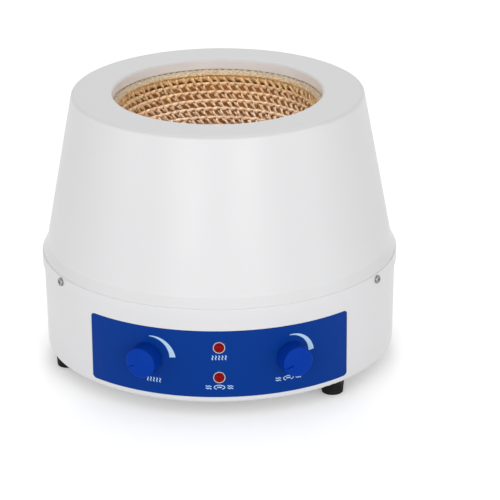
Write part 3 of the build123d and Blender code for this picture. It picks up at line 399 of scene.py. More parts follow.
def moulded(name, colour, roughness, grain=900.0, depth=0.02 * MM, **values):
    """Moulded plastic: a fine spark-eroded grain, and a slow change of gloss."""
    finish = Finish(name, colour, roughness, **values)
    finish.bump(finish.noise(grain, 3.0), 0.35, depth)
    finish.roughness(finish.spread(finish.noise(14.0, 2.0), 0.3, 0.7, roughness - 0.05, roughness + 0.06))
    finish.colour(finish.blend(finish.noise(9.0, 2.0), shade(colour, 0.985), shade(colour, 1.01)))
    return finish.material


def turned_metal(name, colour, roughness, lines=2600.0):
    """Turned or drawn metal: fine rings along Z with uneven gloss."""
    finish = Finish(name, colour, roughness, Metallic=1.0)
    rings = finish.noise(1.0, 3.0, finish.stretched((60.0, 60.0, lines)))
    finish.roughness(finish.spread(rings, 0.3, 0.7, roughness - 0.07, roughness + 0.09))
    finish.bump(rings, 0.25, 0.01 * MM)
    return finish.material


def plated_metal(name, colour, roughness):
    """Plated steel: a soft mottled gloss."""
    finish = Finish(name, colour, roughness, Metallic=1.0)
    mottle = finish.noise(420.0, 3.0)
    finish.roughness(finish.spread(mottle, 0.3, 0.7, roughness - 0.06, roughness + 0.1))
    finish.bump(mottle, 0.15, 0.01 * MM)
    return finish.material


def painted_sheet(name, colour, roughness):
    """Powder-coated sheet: fine orange peel."""
    finish = Finish(name, colour, roughness, Coat_Weight=0.1)
    finish.bump(finish.noise(650.0, 2.0), 0.4, 0.03 * MM)
    finish.colour(finish.blend(finish.noise(1500.0, 1.0), shade(colour, 0.93), shade(colour, 1.05)))
    return finish.material


def housing_plastic():
    colour = bpy.context.scene.mantle_colours.housing
    return moulded("housing_plastic", colour, 0.36, grain=700.0, depth=0.015 * MM, Specular_IOR_Level=0.45)


def panel_film():
    """Screen-printed film: satin, with a fine grain that breaks up its gloss."""
    colour = bpy.context.scene.mantle_colours.panel
    return moulded("panel_film", colour, 0.42, grain=2200.0, depth=0.012 * MM, Specular_IOR_Level=0.07)


def knob_plastic():
    colour = bpy.context.scene.mantle_colours.knob
    return moulded("knob_plastic", colour, 0.4, grain=1500.0, depth=0.015 * MM, Specular_IOR_Level=0.06)


def lens_plastic():
    """Red lamp lens: gloss, and painted shading of a small prism pattern moulded inside: each cell is painted
    lighter at its middle and darker at its edge.
    """
    colour = bpy.context.scene.mantle_colours.lens
    finish = Finish("lens_plastic", colour, 0.12, Specular_IOR_Level=0.06)
    prism_shading = finish.cells(1100.0)
    # Painted shading of the prism pattern: lighter at each cell's middle, darker at its edge.
    finish.colour(finish.blend(prism_shading, shade(colour, 1.15), shade(colour, 0.6)))
    return finish.material


def insulation_wool():
    """Felted wool: tangled fibres and a soft sheen."""
    colour = (0.72, 0.69, 0.6)
    finish = Finish("insulation_wool", colour, 0.95, Sheen_Weight=0.3)
    fibres = finish.noise(1.0, 5.0, finish.stretched((220.0, 220.0, 520.0)), 0.7)
    finish.bump(fibres, 0.8, 0.5 * MM)
    finish.colour(finish.blend(fibres, shade(colour, 0.8), shade(colour, 1.1)))
    return finish.material


def foot_rubber():
    """Rubber: dull, slightly dusty where it has worn."""
    colour = (0.007, 0.007, 0.0075)
    finish = Finish("foot_rubber", colour, 0.7, Specular_IOR_Level=0.15)
    dust = finish.noise(130.0, 4.0)
    finish.colour(finish.blend(finish.spread(dust, 0.45, 0.8), colour, (0.022, 0.022, 0.022)))
    finish.bump(finish.noise(1400.0, 2.0), 0.4, 0.04 * MM)
    return finish.material


def fuse_glass():
    """Clear tube, thin enough to look hollow."""
    finish = Finish("fuse_glass", (0.85, 0.9, 0.9), 0.05, Transmission_Weight=0.8, IOR=1.45)
    finish.bump(finish.noise(300.0, 1.0), 0.1, 0.01 * MM)
    return finish.material


def board_laminate():
    """Circuit board: green mask over straight copper runs."""
    colour = (0.012, 0.11, 0.03)
    finish = Finish("board_laminate", colour, 0.3, Coat_Weight=0.3)
    across = finish.wave(90.0, distortion=0.6)
    along = finish.wave(60.0, direction="Y", distortion=0.8)
    runs = finish.math("MULTIPLY", across, along)
    mask = finish.spread(runs, 0.3, 0.4)
    finish.colour(finish.blend(mask, colour, shade(colour, 1.9)))
    finish.bump(mask, 0.3, 0.03 * MM)
    return finish.material


def magnet_ceramic():
    """Sintered magnet: dark and grainy."""
    colour = (0.03, 0.03, 0.032)
    finish = Finish("magnet_ceramic", colour, 0.55)
    grit = finish.noise(1800.0, 3.0)
    finish.colour(finish.blend(grit, shade(colour, 0.6), shade(colour, 1.8)))
    finish.bump(grit, 0.4, 0.03 * MM)
    return finish.material


def woven(finish, pitch, strength, depth):
    """Plain weave on a piece's own UV: two crossed waves of thread, one over the other."""
    uv = finish.node("ShaderNodeUVMap", uv_map="thread").outputs["UV"]
    across = finish.wave(pitch, uv, "X")
    along = finish.wave(pitch, uv, "Y")
    weave = finish.math("MAXIMUM", across, along)
    finish.bump(weave, strength, depth)
    return weave


def depth_below_hem(finish, reach):
    """0 at the nest's mouth, 1 at a depth of reach and below."""
    height = finish.node("ShaderNodeSeparateXYZ")
    finish.feed(height.inputs[0], finish.place)
    return finish.spread(height.outputs["Z"], NEST_CENTRE.z, NEST_CENTRE.z - reach)


def nest_cloth():
    """Cloth behind the stitches: gold tufts under the hem with painted shade in the gaps below them, then browns
    that wander between red and tan, with a painted highlight on the weave's raised threads and painted shade in
    its hollows."""
    colours = bpy.context.scene.mantle_colours
    gold, brown = colours.gold, colours.brown
    finish = Finish("nest_cloth", brown, 0.85, Sheen_Weight=0.15)
    weave = woven(finish, 2.1, 0.6, 0.3 * MM)
    finish.bump(finish.noise(520.0, 3.0, roughness=0.65), 0.8, 0.8 * MM)
    flecks = finish.spread(finish.noise(420.0, 4.0, roughness=0.65), 0.3, 0.7)
    patches = finish.spread(finish.noise(95.0, 3.0), 0.35, 0.65)
    ground = finish.blend(patches, shade(brown, 0.85), (brown[0] * 1.15, brown[1] * 1.35, brown[2] * 1.45))
    orange = (brown[0] * 1.1, brown[1] * 0.9, brown[2] * 0.55)
    near_hem = finish.spread(depth_below_hem(finish, 7 * FIRST_ROW), 0.1, 1.0, 0.9, 0.0)
    ground = finish.blend(near_hem, ground, orange)
    thread = finish.blend(flecks, finish.blend(0.45, ground, shade(brown, 0.25)), ground)
    # Painted highlight: a lighter brown on the weave's raised threads, which leaves the weave's hollows darker as
    # painted shade.
    thread = finish.blend(finish.spread(weave, 0.0, 1.0, 0.0, 0.3), thread, shade(brown, 1.7))
    amber = (gold[0] * 0.62, gold[1] * 0.42, gold[2] * 0.22)
    tufts = finish.blend(flecks, amber, shade(gold, 1.25))
    # Painted shade: the gaps under the first row's tufts are painted a dark red-brown.
    red = (brown[0] * 0.42, brown[1] * 0.2, brown[2] * 0.08)
    gap = finish.blend(finish.spread(flecks, 0.0, 1.0, 0.0, 0.5), red, shade(brown, 0.5))
    down = depth_below_hem(finish, FIRST_ROW)
    first = finish.blend(finish.spread(down, 0.55, 0.72), tufts, gap)
    finish.colour(finish.blend(finish.spread(down, 0.9, 1.0), first, thread))
    return finish.material


def yarn(name, light, dark, ply, warmth=0.0):
    """Plied glass yarn: slanted plies on the strand's own UV with painted shade in the grooves between them,
    lighter and darker fibres, and a warmer colour near the hem."""
    gold = bpy.context.scene.mantle_colours.gold
    finish = Finish(name, light, 0.6, Sheen_Weight=0.2, Specular_IOR_Level=0.6)
    uv = finish.node("ShaderNodeUVMap", uv_map="thread").outputs["UV"]
    plies = finish.wave(ply, uv, "DIAGONAL", 0.6)
    finish.bump(plies, 0.7, 0.25 * MM)
    fibres = finish.spread(finish.noise(900.0, 3.0), 0.3, 0.62)
    patches = finish.spread(finish.noise(60.0, 3.0), 0.35, 0.7, 0.0, 0.5)
    mixed = finish.blend(finish.math("MAXIMUM", fibres, 0.6), dark, light)
    # Painted shade: the dark colour laid into the grooves between the plies.
    mixed = finish.blend(finish.spread(plies, 0.0, 0.5, 0.3, 0.0), mixed, dark)
    mixed = finish.blend(patches, mixed, shade(light, 1.2))
    warm = finish.spread(depth_below_hem(finish, 5 * FIRST_ROW), 0.0, 1.0, 0.9, warmth)
    amber = (gold[0] * 0.8, gold[1] * 0.62, gold[2] * 0.45)
    finish.colour(finish.blend(warm, mixed, finish.blend(fibres, amber, shade(gold, 1.2))))
    return finish.material


def hem_cloth():
    """Woven hem tape: cream at the top with gold and grey threads, gold towards the nest, and painted shade
    between the weave's raised threads.
    """
    colours = bpy.context.scene.mantle_colours
    hem, gold = colours.hem, colours.gold
    finish = Finish("hem_cloth", hem, 0.8, Sheen_Weight=0.2)
    weave = woven(finish, 0.5, 0.7, 0.25 * MM)
    fuzz = finish.noise(1300.0, 4.0, roughness=0.7)
    finish.bump(fuzz, 0.7, 0.4 * MM)
    height = finish.node("ShaderNodeSeparateXYZ")
    finish.feed(height.inputs[0], finish.place)
    low = finish.spread(height.outputs["Z"], HEM_HIGH - 1.6 * MM, HEM_LOW + 0.4 * MM)
    flecks = finish.spread(finish.noise(620.0, 4.0, roughness=0.7), 0.38, 0.6)
    patches = finish.spread(finish.noise(150.0, 2.0), 0.4, 0.62, 0.0, 0.6)
    top = finish.blend(flecks, shade(hem, 0.6), shade(hem, 1.12))
    top = finish.blend(patches, top, finish.blend(flecks, shade(gold, 0.7), shade(hem, 1.1)))
    foot = finish.blend(flecks, shade(gold, 0.6), (gold[0], gold[1] * 1.15, gold[2] * 1.3))
    mixed = finish.blend(low, top, foot)
    # Painted shade: a dark gold laid between the weave's raised threads.
    finish.colour(finish.blend(finish.spread(weave, 0.5, 1.0, 0.25, 0.0), mixed, shade(gold, 0.4)))
    return finish.material


def seam_thread_and_shade():
    """Dark sewing thread, which also paints the shade in the gap under the collar's edge."""
    colour = (0.16, 0.12, 0.1)
    finish = Finish("seam_thread_and_shade", colour, 0.7, Sheen_Weight=0.2)
    finish.colour(finish.blend(finish.noise(1500.0, 2.0), shade(colour, 0.6), shade(colour, 1.6)))
    finish.bump(finish.noise(2200.0, 2.0), 0.4, 0.05 * MM)
    return finish.material


def print_ink():
    """Screen-printed ink: flat, a little rough."""
    colour = bpy.context.scene.mantle_colours.print_ink
    finish = Finish("print_ink", colour, 0.45)
    finish.colour(finish.blend(finish.noise(700.0, 2.0), shade(colour, 0.94), shade(colour, 1.04)))
    finish.bump(finish.noise(2500.0, 2.0), 0.2, 0.01 * MM)
    return finish.material


SLOT_FINISHES = {
    "housing_plastic": housing_plastic,
    "panel_film": panel_film,
    "knob_plastic": knob_plastic,
    "lens_plastic": lens_plastic,
    "bezel_chrome": lambda: plated_metal("bezel_chrome", (0.6, 0.6, 0.61), 0.25),
    "insulation_wool": insulation_wool,
    "element_steel": lambda: turned_metal("element_steel", (0.32, 0.31, 0.3), 0.45),
    "bowl_metal": lambda: turned_metal("bowl_metal", (0.7, 0.7, 0.71), 0.3, 900.0),
    "fastener_steel": lambda: plated_metal("fastener_steel", (0.3, 0.295, 0.28), 0.22),
    "foot_rubber": foot_rubber,
    "plate_steel": lambda: painted_sheet("plate_steel", (0.42, 0.42, 0.43), 0.45),
    "motor_steel": lambda: painted_sheet("motor_steel", (0.05, 0.05, 0.052), 0.4),
    "bearing_brass": lambda: turned_metal("bearing_brass", (0.6, 0.42, 0.17), 0.3),
    "shaft_steel": lambda: turned_metal("shaft_steel", (0.55, 0.55, 0.55), 0.22),
    "arm_metal": lambda: turned_metal("arm_metal", (0.66, 0.66, 0.67), 0.32, 300.0),
    "magnet_ceramic": magnet_ceramic,
    "pot_metal": lambda: plated_metal("pot_metal", (0.55, 0.55, 0.55), 0.38),
    "inlet_plastic": lambda: moulded("inlet_plastic", (0.02, 0.02, 0.021), 0.42, grain=1100.0),
    "pin_brass": lambda: plated_metal("pin_brass", (0.7, 0.6, 0.35), 0.24),
    "fuse_glass": fuse_glass,
    "board_laminate": board_laminate,
    "sink_metal": lambda: turned_metal("sink_metal", (0.62, 0.62, 0.63), 0.35, 500.0),
    "capacitor_sleeve": lambda: moulded("capacitor_sleeve", (0.012, 0.016, 0.09), 0.25, grain=1500.0),
}


class MANTLE_OT_finish_pieces(bpy.types.Operator):
    """Give every rigid piece the finish of its slot"""

    bl_idname = "mantle.finish_pieces"
    bl_label = "Finish rigid pieces"

    def execute(self, context):
        made = {}
        for entry in frame["record"]["subparts"]:
            slot, node = entry["material_slot"], frame["nodes"][entry["node"]]
            if slot not in SLOT_FINISHES:
                continue
            if slot not in made:
                made[slot] = SLOT_FINISHES[slot]()
            node.data.materials.clear()
            node.data.materials.append(made[slot])
        return {"FINISHED"}


# ---- woven nest
class MANTLE_OT_lay_cloth(bpy.types.Operator):
    """Backing cloth of the nest. Its radius grows by sine humps inside each stitch, which makes the
    hollows, and shrinks by taller ones in the first row, which makes tufts of uneven length"""

    bl_idname = "mantle.lay_cloth"
    bl_label = "Nest cloth"

    def execute(self, context):
        nest = context.scene.mantle_nest
        per_row, turns, back_rings = 8, nest.cells * PER_STITCH, 24
        backing = 0.9 * MM  # from the bulb to the cloth between the stitches
        tuft_root, tuft_rise, gap_depth = 2.2 * MM, 2.0 * MM, 1.6 * MM
        depression = np.linspace(0, pi / 2, nest.rows * per_row + 1)[:, None]
        turn = np.linspace(0, 2 * pi, turns, endpoint=False)[None, :]
        row = np.minimum((depression / row_angle(nest)).astype(int), nest.rows - 1)
        down = depression / row_angle(nest) - row
        across = turn * row_cells(nest)[row] / (2 * pi) + nest.lean * (down - 0.5)
        hollow = np.sin(pi * down) ** 0.7 * np.abs(np.sin(pi * across)) ** 0.6
        stitched = nest.flask_radius + backing + nest.pocket * hollow
        draw = np.random.RandomState(3)
        marks = np.arange(nest.cells * 2 * pi)
        lengths = draw.uniform(0.75, 1.25, len(marks))
        length = nest.tuft * np.interp(turn * nest.cells, marks, lengths)
        side = 0.45 + 0.55 * np.abs(np.sin(pi * across))
        bulge = np.sin(pi * np.clip(down / length, 0, 1)) ** 0.6 * side
        gap = np.clip((down - length) / (1 - length), 0, 1)
        tufted = nest.flask_radius + tuft_root - tuft_rise * bulge + gap_depth * np.sin(pi * gap) * hollow
        inner = np.where(row == 0, tufted, stitched)
        settle = np.linspace(0, 1, per_row)[:, None]
        inner[-per_row:] += (nest.flask_radius + MM - inner[-per_row:]) * settle
        back = np.linspace(pi / 2, 0, back_rings)[:, None]
        reach = NEST_OUTER + 0 * turn
        radius = np.concatenate([inner * np.cos(depression), reach * np.cos(back)])
        drop = np.concatenate([inner * np.sin(depression), reach * np.sin(back)])
        piece = revolved("nest_cloth", radius, NEST_CENTRE.z - drop, turns, nest_cloth(), (1, 0.5))
        ride_in_housing(piece, "nest_fabric", "heating_nest")
        return {"FINISHED"}


class MANTLE_OT_wind_cords(bpy.types.Operator):
    """Cord between each two rows: a ring that swings, lifts and swells by a cosine at every stitch,
    and sags by a random line through a few places"""

    bl_idname = "mantle.wind_cords"
    bl_label = "Nest cords"

    def execute(self, context):
        nest = context.scene.mantle_nest
        colours = context.scene.mantle_colours
        material = yarn("nest_cord", colours.cream, shade(colours.brown, 0.9), 1.3)
        draw = np.random.RandomState(11)
        sides, sags, inset, rise = 7, 12, 0.35 * MM, 0.4 * MM
        rings = []
        for row, cells in list(enumerate(row_cells(nest)))[1:]:
            steps = cells * PER_STITCH
            turn = np.linspace(0, 2 * pi, steps, endpoint=False)
            places = np.linspace(0, 2 * pi, sags + 1)
            sag = np.interp(turn, places, np.append(draw.uniform(-1, 1, sags), 0))
            wander = 0.07 * np.cos(turn * cells) + 0.05 * sag
            lift = rise * np.cos(turn * cells + 1.2)
            path = nest_point(row_angle(nest) * (row + wander), turn, nest.flask_radius + inset - lift)
            thickness = nest.cord * (1 + 0.34 * np.cos(turn * cells + 0.6))
            tube = tube_points(path[None], thickness[None], sides, True)
            rings.append((tube.reshape(-1, 3), *grid_faces(steps, sides, True, True)))
        ride_in_housing(make_joined("nest_cords", rings, material), "nest_fabric")
        return {"FINISHED"}


def stitch_grid(nest):
    """Row number, cell width as an angle, and bearing of every stitch's left side."""
    cells = row_cells(nest)
    row = np.repeat(np.arange(nest.rows), cells)
    width = 2 * pi / cells[row]
    number = np.concatenate([np.arange(count) for count in cells])
    return row, width, number * width


class MANTLE_OT_work_loops(bpy.types.Operator):
    """Loop of yarn down the side of each stitch, hooked under the next cord: its bearing bows and
    leans on the way down, and its depth is least at its middle, by a sine"""

    bl_idname = "mantle.work_loops"
    bl_label = "Nest loops"

    def execute(self, context):
        nest = context.scene.mantle_nest
        colours = context.scene.mantle_colours
        row, width, left = stitch_grid(nest)
        draw = np.random.RandomState(23)
        along = np.linspace(0, 1, 8)[None, :]
        jitter = draw.uniform(-1, 1, (len(row), 3))
        first = row[:, None] == 0
        lean = nest.lean + 0.12 * jitter[:, 2:3] + np.where(first, 0.5 * jitter[:, 1:2], 0)
        bow = -0.12 * np.sin(pi * along) + lean * (along - 0.5) + 0.07 * jitter[:, :1]
        down = 0.02 + 0.96 * along + 0.03 * jitter[:, 1:2]
        turn = left[:, None] - width[:, None] * bow
        end_depth, arch, uneven = 1.7 * MM, 1.75 * MM, 0.2 * MM
        depth = end_depth - arch * np.sin(pi * along) ** 0.8 + uneven * jitter[:, 2:3]
        paths = nest_point(row_angle(nest) * (row[:, None] + down), turn, nest.flask_radius + depth)
        swell = np.sin(pi * along) ** 0.35
        thickness = nest.yarn * swell * (1 + 0.2 * jitter[:, :1]) * np.where(first, 1.25, 1)
        material = yarn("nest_loop", colours.cream, shade(colours.brown, 0.9), 1.1)
        piece = swept("nest_loops", paths, thickness + 0 * paths[..., 0], 6, material)
        ride_in_housing(piece, "nest_fabric")
        return {"FINISHED"}


class MANTLE_OT_work_floats(bpy.types.Operator):
    """Short slanted strand across each stitch's hollow, thickest and highest at its middle"""

    bl_idname = "mantle.work_floats"
    bl_label = "Nest floats"

    def execute(self, context):
        nest = context.scene.mantle_nest
        colours = context.scene.mantle_colours
        row, width, left = stitch_grid(nest)
        draw = np.random.RandomState(37)
        along = np.linspace(0, 1, 7)[None, :]
        jitter = draw.uniform(-1, 1, (len(row), 3))
        across = 0.3 + 0.6 * along + 0.1 * jitter[:, :1]
        down = 0.1 + 0.62 * along + 0.1 * jitter[:, 1:2]
        turn = left[:, None] - width[:, None] * across
        end_depth, arch, uneven = 2.2 * MM, 1.8 * MM, 0.3 * MM
        depth = end_depth - arch * np.sin(pi * along) + uneven * jitter[:, 2:3]
        paths = nest_point(row_angle(nest) * (row[:, None] + down), turn, nest.flask_radius + depth)
        thickness = nest.yarn * 0.8 * np.sin(pi * along) ** 0.5 + 0 * paths[..., 0]
        material = yarn("nest_float", shade(colours.cream, 0.98), shade(colours.brown, 0.8), 1.6, 0.35)
        piece = swept("nest_floats", paths, thickness, 6, material)
        ride_in_housing(piece, "nest_fabric")
        return {"FINISHED"}


class MANTLE_OT_sew_hem(bpy.types.Operator):
    """Hem tape that closes the gap between the nest and the collar: a slope whose radius carries the
    product of a warp and a weft wave, and a slower wave of tufts"""

    bl_idname = "mantle.sew_hem"
    bl_label = "Hem"

    def execute(self, context):
        nest = context.scene.mantle_nest
        turns, rings, warps, wefts = 900, 15, 225, 7
        under_collar, weave_relief, tuft_relief = 0.5 * MM, 0.13 * MM, 0.22 * MM
        turn = np.linspace(0, 2 * pi, turns, endpoint=False)[None, :]
        slope = np.linspace(0, 1, rings)[:, None]
        warp = np.sin(turn * warps + slope * pi * wefts)
        weft = np.sin(slope * pi * 2 * wefts)
        tufts = np.sin(turn * 72 + 1.5 * np.sin(turn * 17)) * np.sin(pi * slope)
        relief = weave_relief * warp * weft + tuft_relief * tufts
        width = COLLAR_RADIUS + under_collar - nest.flask_radius
        radius = nest.flask_radius + width * slope**1.25 + relief
        height = HEM_LOW + (HEM_HIGH - HEM_LOW) * slope + 0 * turn
        back = np.array([[HEM_OUTER, HEM_HIGH], [HEM_OUTER, HEM_LOW]])
        radius = np.concatenate([radius, back[:, :1] + 0 * turn])
        height = np.concatenate([height, back[:, 1:] + 0 * turn])
        piece = revolved("hem_tape", radius, height, turns, hem_cloth(), (1, 0.5))
        ride_in_housing(piece, "hem_fabric", "nest_hem")
        return {"FINISHED"}


class MANTLE_OT_sew_thread_and_shade(bpy.types.Operator):
    """Dashes of dark thread along the hem's upper edge, tucked under the collar's edge, where they also paint the
    shade in the gap there
    """

    bl_idname = "mantle.sew_thread"
    bl_label = "Hem thread"

    def execute(self, context):
        stitches, inset, thread_radius = 96, 0.35 * MM, 0.3 * MM
        dip, uneven = 0.5 * MM, 0.12 * MM
        draw = np.random.RandomState(5)
        along = np.linspace(0, 1, 7)[None, :]
        jitter = draw.uniform(-1, 1, (stitches, 3))
        start = np.arange(stitches)[:, None] + 0.08 * jitter[:, :1]
        turn = 2 * pi / stitches * (start + (0.6 + 0.1 * jitter[:, 1:2]) * along)
        radius = COLLAR_RADIUS - inset + dip * (1 - np.sin(pi * along)) + 0 * turn
        height = HEM_HIGH - inset + uneven * jitter[:, 2:3] + 0 * turn
        paths = np.stack([radius * np.sin(turn), -radius * np.cos(turn), height], -1)
        thickness = thread_radius * np.sin(pi * along) ** 0.4 + 0 * turn
        # Tucked just under the collar's edge, the dark dashes also paint the shade in the gap there.
        piece = swept("hem_thread_and_shade", paths, thickness, 5, seam_thread_and_shade())
        ride_in_housing(piece, "hem_fabric")
        return {"FINISHED"}


# ---- panel print
def panel_radius(height):
    """Outside radius of the panel's film at a height: a straight taper between its two edges."""
    low, high = PANEL_RADII
    share = (height - PANEL_LOW.z) / (PANEL_HIGH.z - PANEL_LOW.z)
    return low + (high - low) * share


def panel_taper():
    """Largest radius of the panel's points near its lower and its upper edge."""
    mesh = frame["nodes"]["control_panel"].data
    points = np.empty(len(mesh.vertices) * 3, np.float32)
    mesh.vertices.foreach_get("co", points)
    points = points.reshape(-1, 3)
    radius = np.hypot(points[:, 0], points[:, 1])
    edge = 0.5 * MM
    low = radius[points[:, 2] < PANEL_LOW.z + edge].max()
    high = radius[points[:, 2] > PANEL_HIGH.z - edge].max()
    return float(low), float(high)


PANEL_RADII = panel_taper()


def printed_band(bearing, centre_height, right, up, width):
    """Ink laid on the panel along a line: right and up are the line's place from a centre on the
    panel, width its breadth at right angles to itself. Each edge point is moved half the width along
    the line's normal, then wrapped round the panel's taper by bearing = asin(right / radius)."""
    slope_x, slope_y = np.gradient(right), np.gradient(up)
    length = np.hypot(slope_x, slope_y)
    normal_x, normal_y = -slope_y / length, slope_x / length
    side = np.array([-0.5, 0.5])[:, None]
    flat_x = right + side * width * normal_x
    flat_z = centre_height + up + side * width * normal_y
    layers = []
    for lift in (INK_LOW, INK_HIGH):
        radius = panel_radius(flat_z) + lift
        turn = bearing + np.arcsin(flat_x / radius)
        layers.append(np.stack([radius * np.sin(turn), -radius * np.cos(turn), flat_z], -1))
    return np.stack([layers[0][0], layers[1][0], layers[1][1], layers[0][1]], 1)


def print_marks(name, bands, material):
    """Join printed bands into one piece. Each band is a run of four-cornered sections."""
    parts = []
    for loop in bands:
        start = np.repeat(loop[:1].mean(1, keepdims=True), 4, 1)
        end = np.repeat(loop[-1:].mean(1, keepdims=True), 4, 1)
        whole = np.concatenate([start, loop, end])
        parts.append((whole.reshape(-1, 3), *grid_faces(len(whole), 4, False, True)))
    ride_in_housing(make_joined(name, parts, material, smooth=False), "panel_film")


def heat_sign(bearing, rise_to_centre, size, shift):
    """Five upright wavy lines side by side."""
    height = BASE_BOTTOM + rise_to_centre
    rise = np.linspace(-0.5, 0.5, 25)
    bands = []
    for place in (-2, -1, 0, 1, 2):
        right = shift + size * (0.68 * place + 0.12 * np.sin(2 * pi * rise * 1.25))
        bands.append(printed_band(bearing, height, right, size * rise, 0.2 * size))
    return bands


def stir_sign(bearing, rise_to_centre, size, shift):
    """Bar with an open ring round it, and two waves on each side."""
    height = BASE_BOTTOM + rise_to_centre
    sweep = np.linspace(radians(-60), radians(240), 40)
    ring_x, ring_y = shift + 1.05 * size * np.cos(sweep), 0.46 * size * np.sin(sweep)
    bands = [printed_band(bearing, height, ring_x, ring_y, 0.17 * size)]
    reach = np.linspace(-0.45, 0.45, 9)
    bands.append(printed_band(bearing, height, shift + size * reach, 0 * reach, 0.24 * size))
    run = np.linspace(-0.55, 0.55, 25)
    for side in (-1, 1):
        for level in (-0.24, 0.24):
            right = shift + size * (2.15 * side + run)
            up = size * (level + 0.1 * np.sin(2 * pi * run * 1.8))
            bands.append(printed_band(bearing, height, right, up, 0.17 * size))
    return bands


class MANTLE_OT_print_panel(bpy.types.Operator):
    """Setting arcs round the dials, and plain signs for heating and stirring"""

    bl_idname = "mantle.print_panel"
    bl_label = "Panel print"

    def execute(self, context):
        ink = print_ink()
        arc_start, arc_end = radians(92), radians(2)
        share = np.linspace(0, 1, 41)
        sweep = arc_start + (arc_end - arc_start) * share
        width = ARC_THIN + (ARC_WIDE - ARC_THIN) * share
        middle = ARC_INNER * MM + (ARC_OUTER - ARC_INNER) * MM * share
        for name, bearing, offset in (
            ("heat", -DIAL_BEARING, HEAT_ARC_OFFSET),
            ("stir", DIAL_BEARING, STIR_ARC_OFFSET),
        ):
            right, up = middle * np.cos(sweep) + offset[0], middle * np.sin(sweep) + offset[1]
            arc = printed_band(bearing, DIAL_HEIGHT, right, up, width)
            print_marks(f"{name}_setting_arc", [arc], ink)
        for name, sign, bearing, place in (
            ("heat_lamp_sign", heat_sign, 0, HEAT_LAMP_SIGN),
            ("stir_lamp_sign", stir_sign, 0, STIR_LAMP_SIGN),
            ("heat_dial_sign", heat_sign, -DIAL_BEARING, HEAT_DIAL_SIGN),
            ("stir_dial_sign", stir_sign, DIAL_BEARING, STIR_DIAL_SIGN),
        ):
            print_marks(name, sign(bearing, *place), ink)
        return {"FINISHED"}


# ---- studio
class MANTLE_OT_studio(bpy.types.Operator):
    """Pale floor, soft light and camera"""

    bl_idname = "mantle.studio"
    bl_label = "Studio"

    def execute(self, context):
        studio = context.scene.mantle_studio
        context.scene.view_settings.view_transform = "Standard"
        lay_floor(studio.floor_glow)
        light_sky(studio.sky)
        lamps = (
            ("left_lamp", -studio.bearing, studio.height, studio.lamp),
            ("right_lamp", studio.bearing, studio.height, studio.lamp),
            ("left_side_lamp", -studio.side_bearing, studio.height, studio.side_lamp),
            ("right_side_lamp", studio.side_bearing, studio.height, studio.side_lamp),
            ("back_lamp", pi, studio.back_height, studio.back_lamp),
        )
        for name, turn, height, power in lamps:
            soft_lamp(name, (studio.reach * sin(turn), -studio.reach * cos(turn), height), power)
        narrow_lamp("nest_lamp", NEST_LAMP_PLACE, studio.nest_lamp)
        place_camera(studio)
        return {"FINISHED"}


def seen_directly(tree):
    """Amount that is 1 for rays from the camera, mirrors and glass, and 0 for the light itself."""
    path = tree.nodes.new("ShaderNodeLightPath")
    total = path.outputs["Is Camera Ray"]
    for name in ("Is Glossy Ray", "Is Transmission Ray"):
        both = tree.nodes.new("ShaderNodeMath")
        both.operation, both.use_clamp = "ADD", True
        tree.links.new(total, both.inputs[0])
        tree.links.new(path.outputs[name], both.inputs[1])
        total = both.outputs[0]
    return total


def lay_floor(glow):
    """Round pale floor, far larger than the view. It looks whiter than the light it gives back, and
    less so where something close above it covers the sky."""
    finish = Finish("floor_paper", (0.9, 0.9, 0.9), 0.95, Specular_IOR_Level=0.1)
    added = finish.node("ShaderNodeEmission")
    open_sky = finish.node("ShaderNodeAmbientOcclusion", samples=8)
    open_sky.inputs["Distance"].default_value = SHADOW_REACH
    even_light = finish.spread(open_sky.outputs["AO"], 0.0, 1.0, SHADOW_GLOW * glow, glow)
    finish.feed(added.inputs["Strength"], finish.math("MULTIPLY", seen_directly(finish.tree), even_light))
    total = finish.node("ShaderNodeAddShader")
    finish.feed(total.inputs[0], finish.shader.outputs[0])
    finish.feed(total.inputs[1], added.outputs[0])
    finish.feed(finish.tree.nodes["Material Output"].inputs["Surface"], total.outputs[0])
    angle = np.linspace(0, 2 * pi, FLOOR_SIDES, endpoint=False)
    rim = np.stack([FLOOR_RADIUS * np.cos(angle), FLOOR_RADIUS * np.sin(angle), 0 * angle], -1)
    points = np.concatenate([np.zeros((1, 3)), rim])
    order = np.arange(FLOOR_SIDES)
    wedges = np.stack([0 * order, order + 1, (order + 1) % FLOOR_SIDES + 1], -1)
    mesh = bpy.data.meshes.new("floor")
    mesh.from_pydata(points.tolist(), [], wedges.tolist())
    mesh.materials.append(finish.material)
    floor = bpy.data.objects.new("floor", mesh)
    bpy.context.scene.collection.objects.link(floor)


def light_sky(strength):
    """Even white light from all round, under a sky that looks plain white."""
    world = bpy.data.worlds.new("studio_sky")
    world.use_nodes = True
    tree = world.node_tree
    sky = tree.nodes["Background"]
    sky.inputs["Color"].default_value = (1, 1, 1, 1)
    sky.inputs["Strength"].default_value = strength
    bright = tree.nodes.new("ShaderNodeBackground")
    bright.inputs["Strength"].default_value = 1.0
    bright.inputs["Color"].default_value = (1, 1, 1, 1)
    mix = tree.nodes.new("ShaderNodeMixShader")
    tree.links.new(seen_directly(tree), mix.inputs[0])
    tree.links.new(sky.outputs[0], mix.inputs[1])
    tree.links.new(bright.outputs[0], mix.inputs[2])
    tree.links.new(mix.outputs[0], tree.nodes["World Output"].inputs[0])
    bpy.context.scene.world = world


def hang_lamp(name, kind, place, power, target):
    """Lamp of a kind at a place, turned to a target."""
    lamp = bpy.data.lights.new(name, kind)
    lamp.energy = power
    made = bpy.data.objects.new(name, lamp)
    made.location = place
    made.rotation_euler = (target - Vector(place)).to_track_quat("-Z", "Y").to_euler()
    bpy.context.scene.collection.objects.link(made)
    return lamp


def soft_lamp(name, place, power):
    """Large square lamp that faces the object."""
    hang_lamp(name, "AREA", place, power, LAMP_AIM).size = LAMP_SIZE


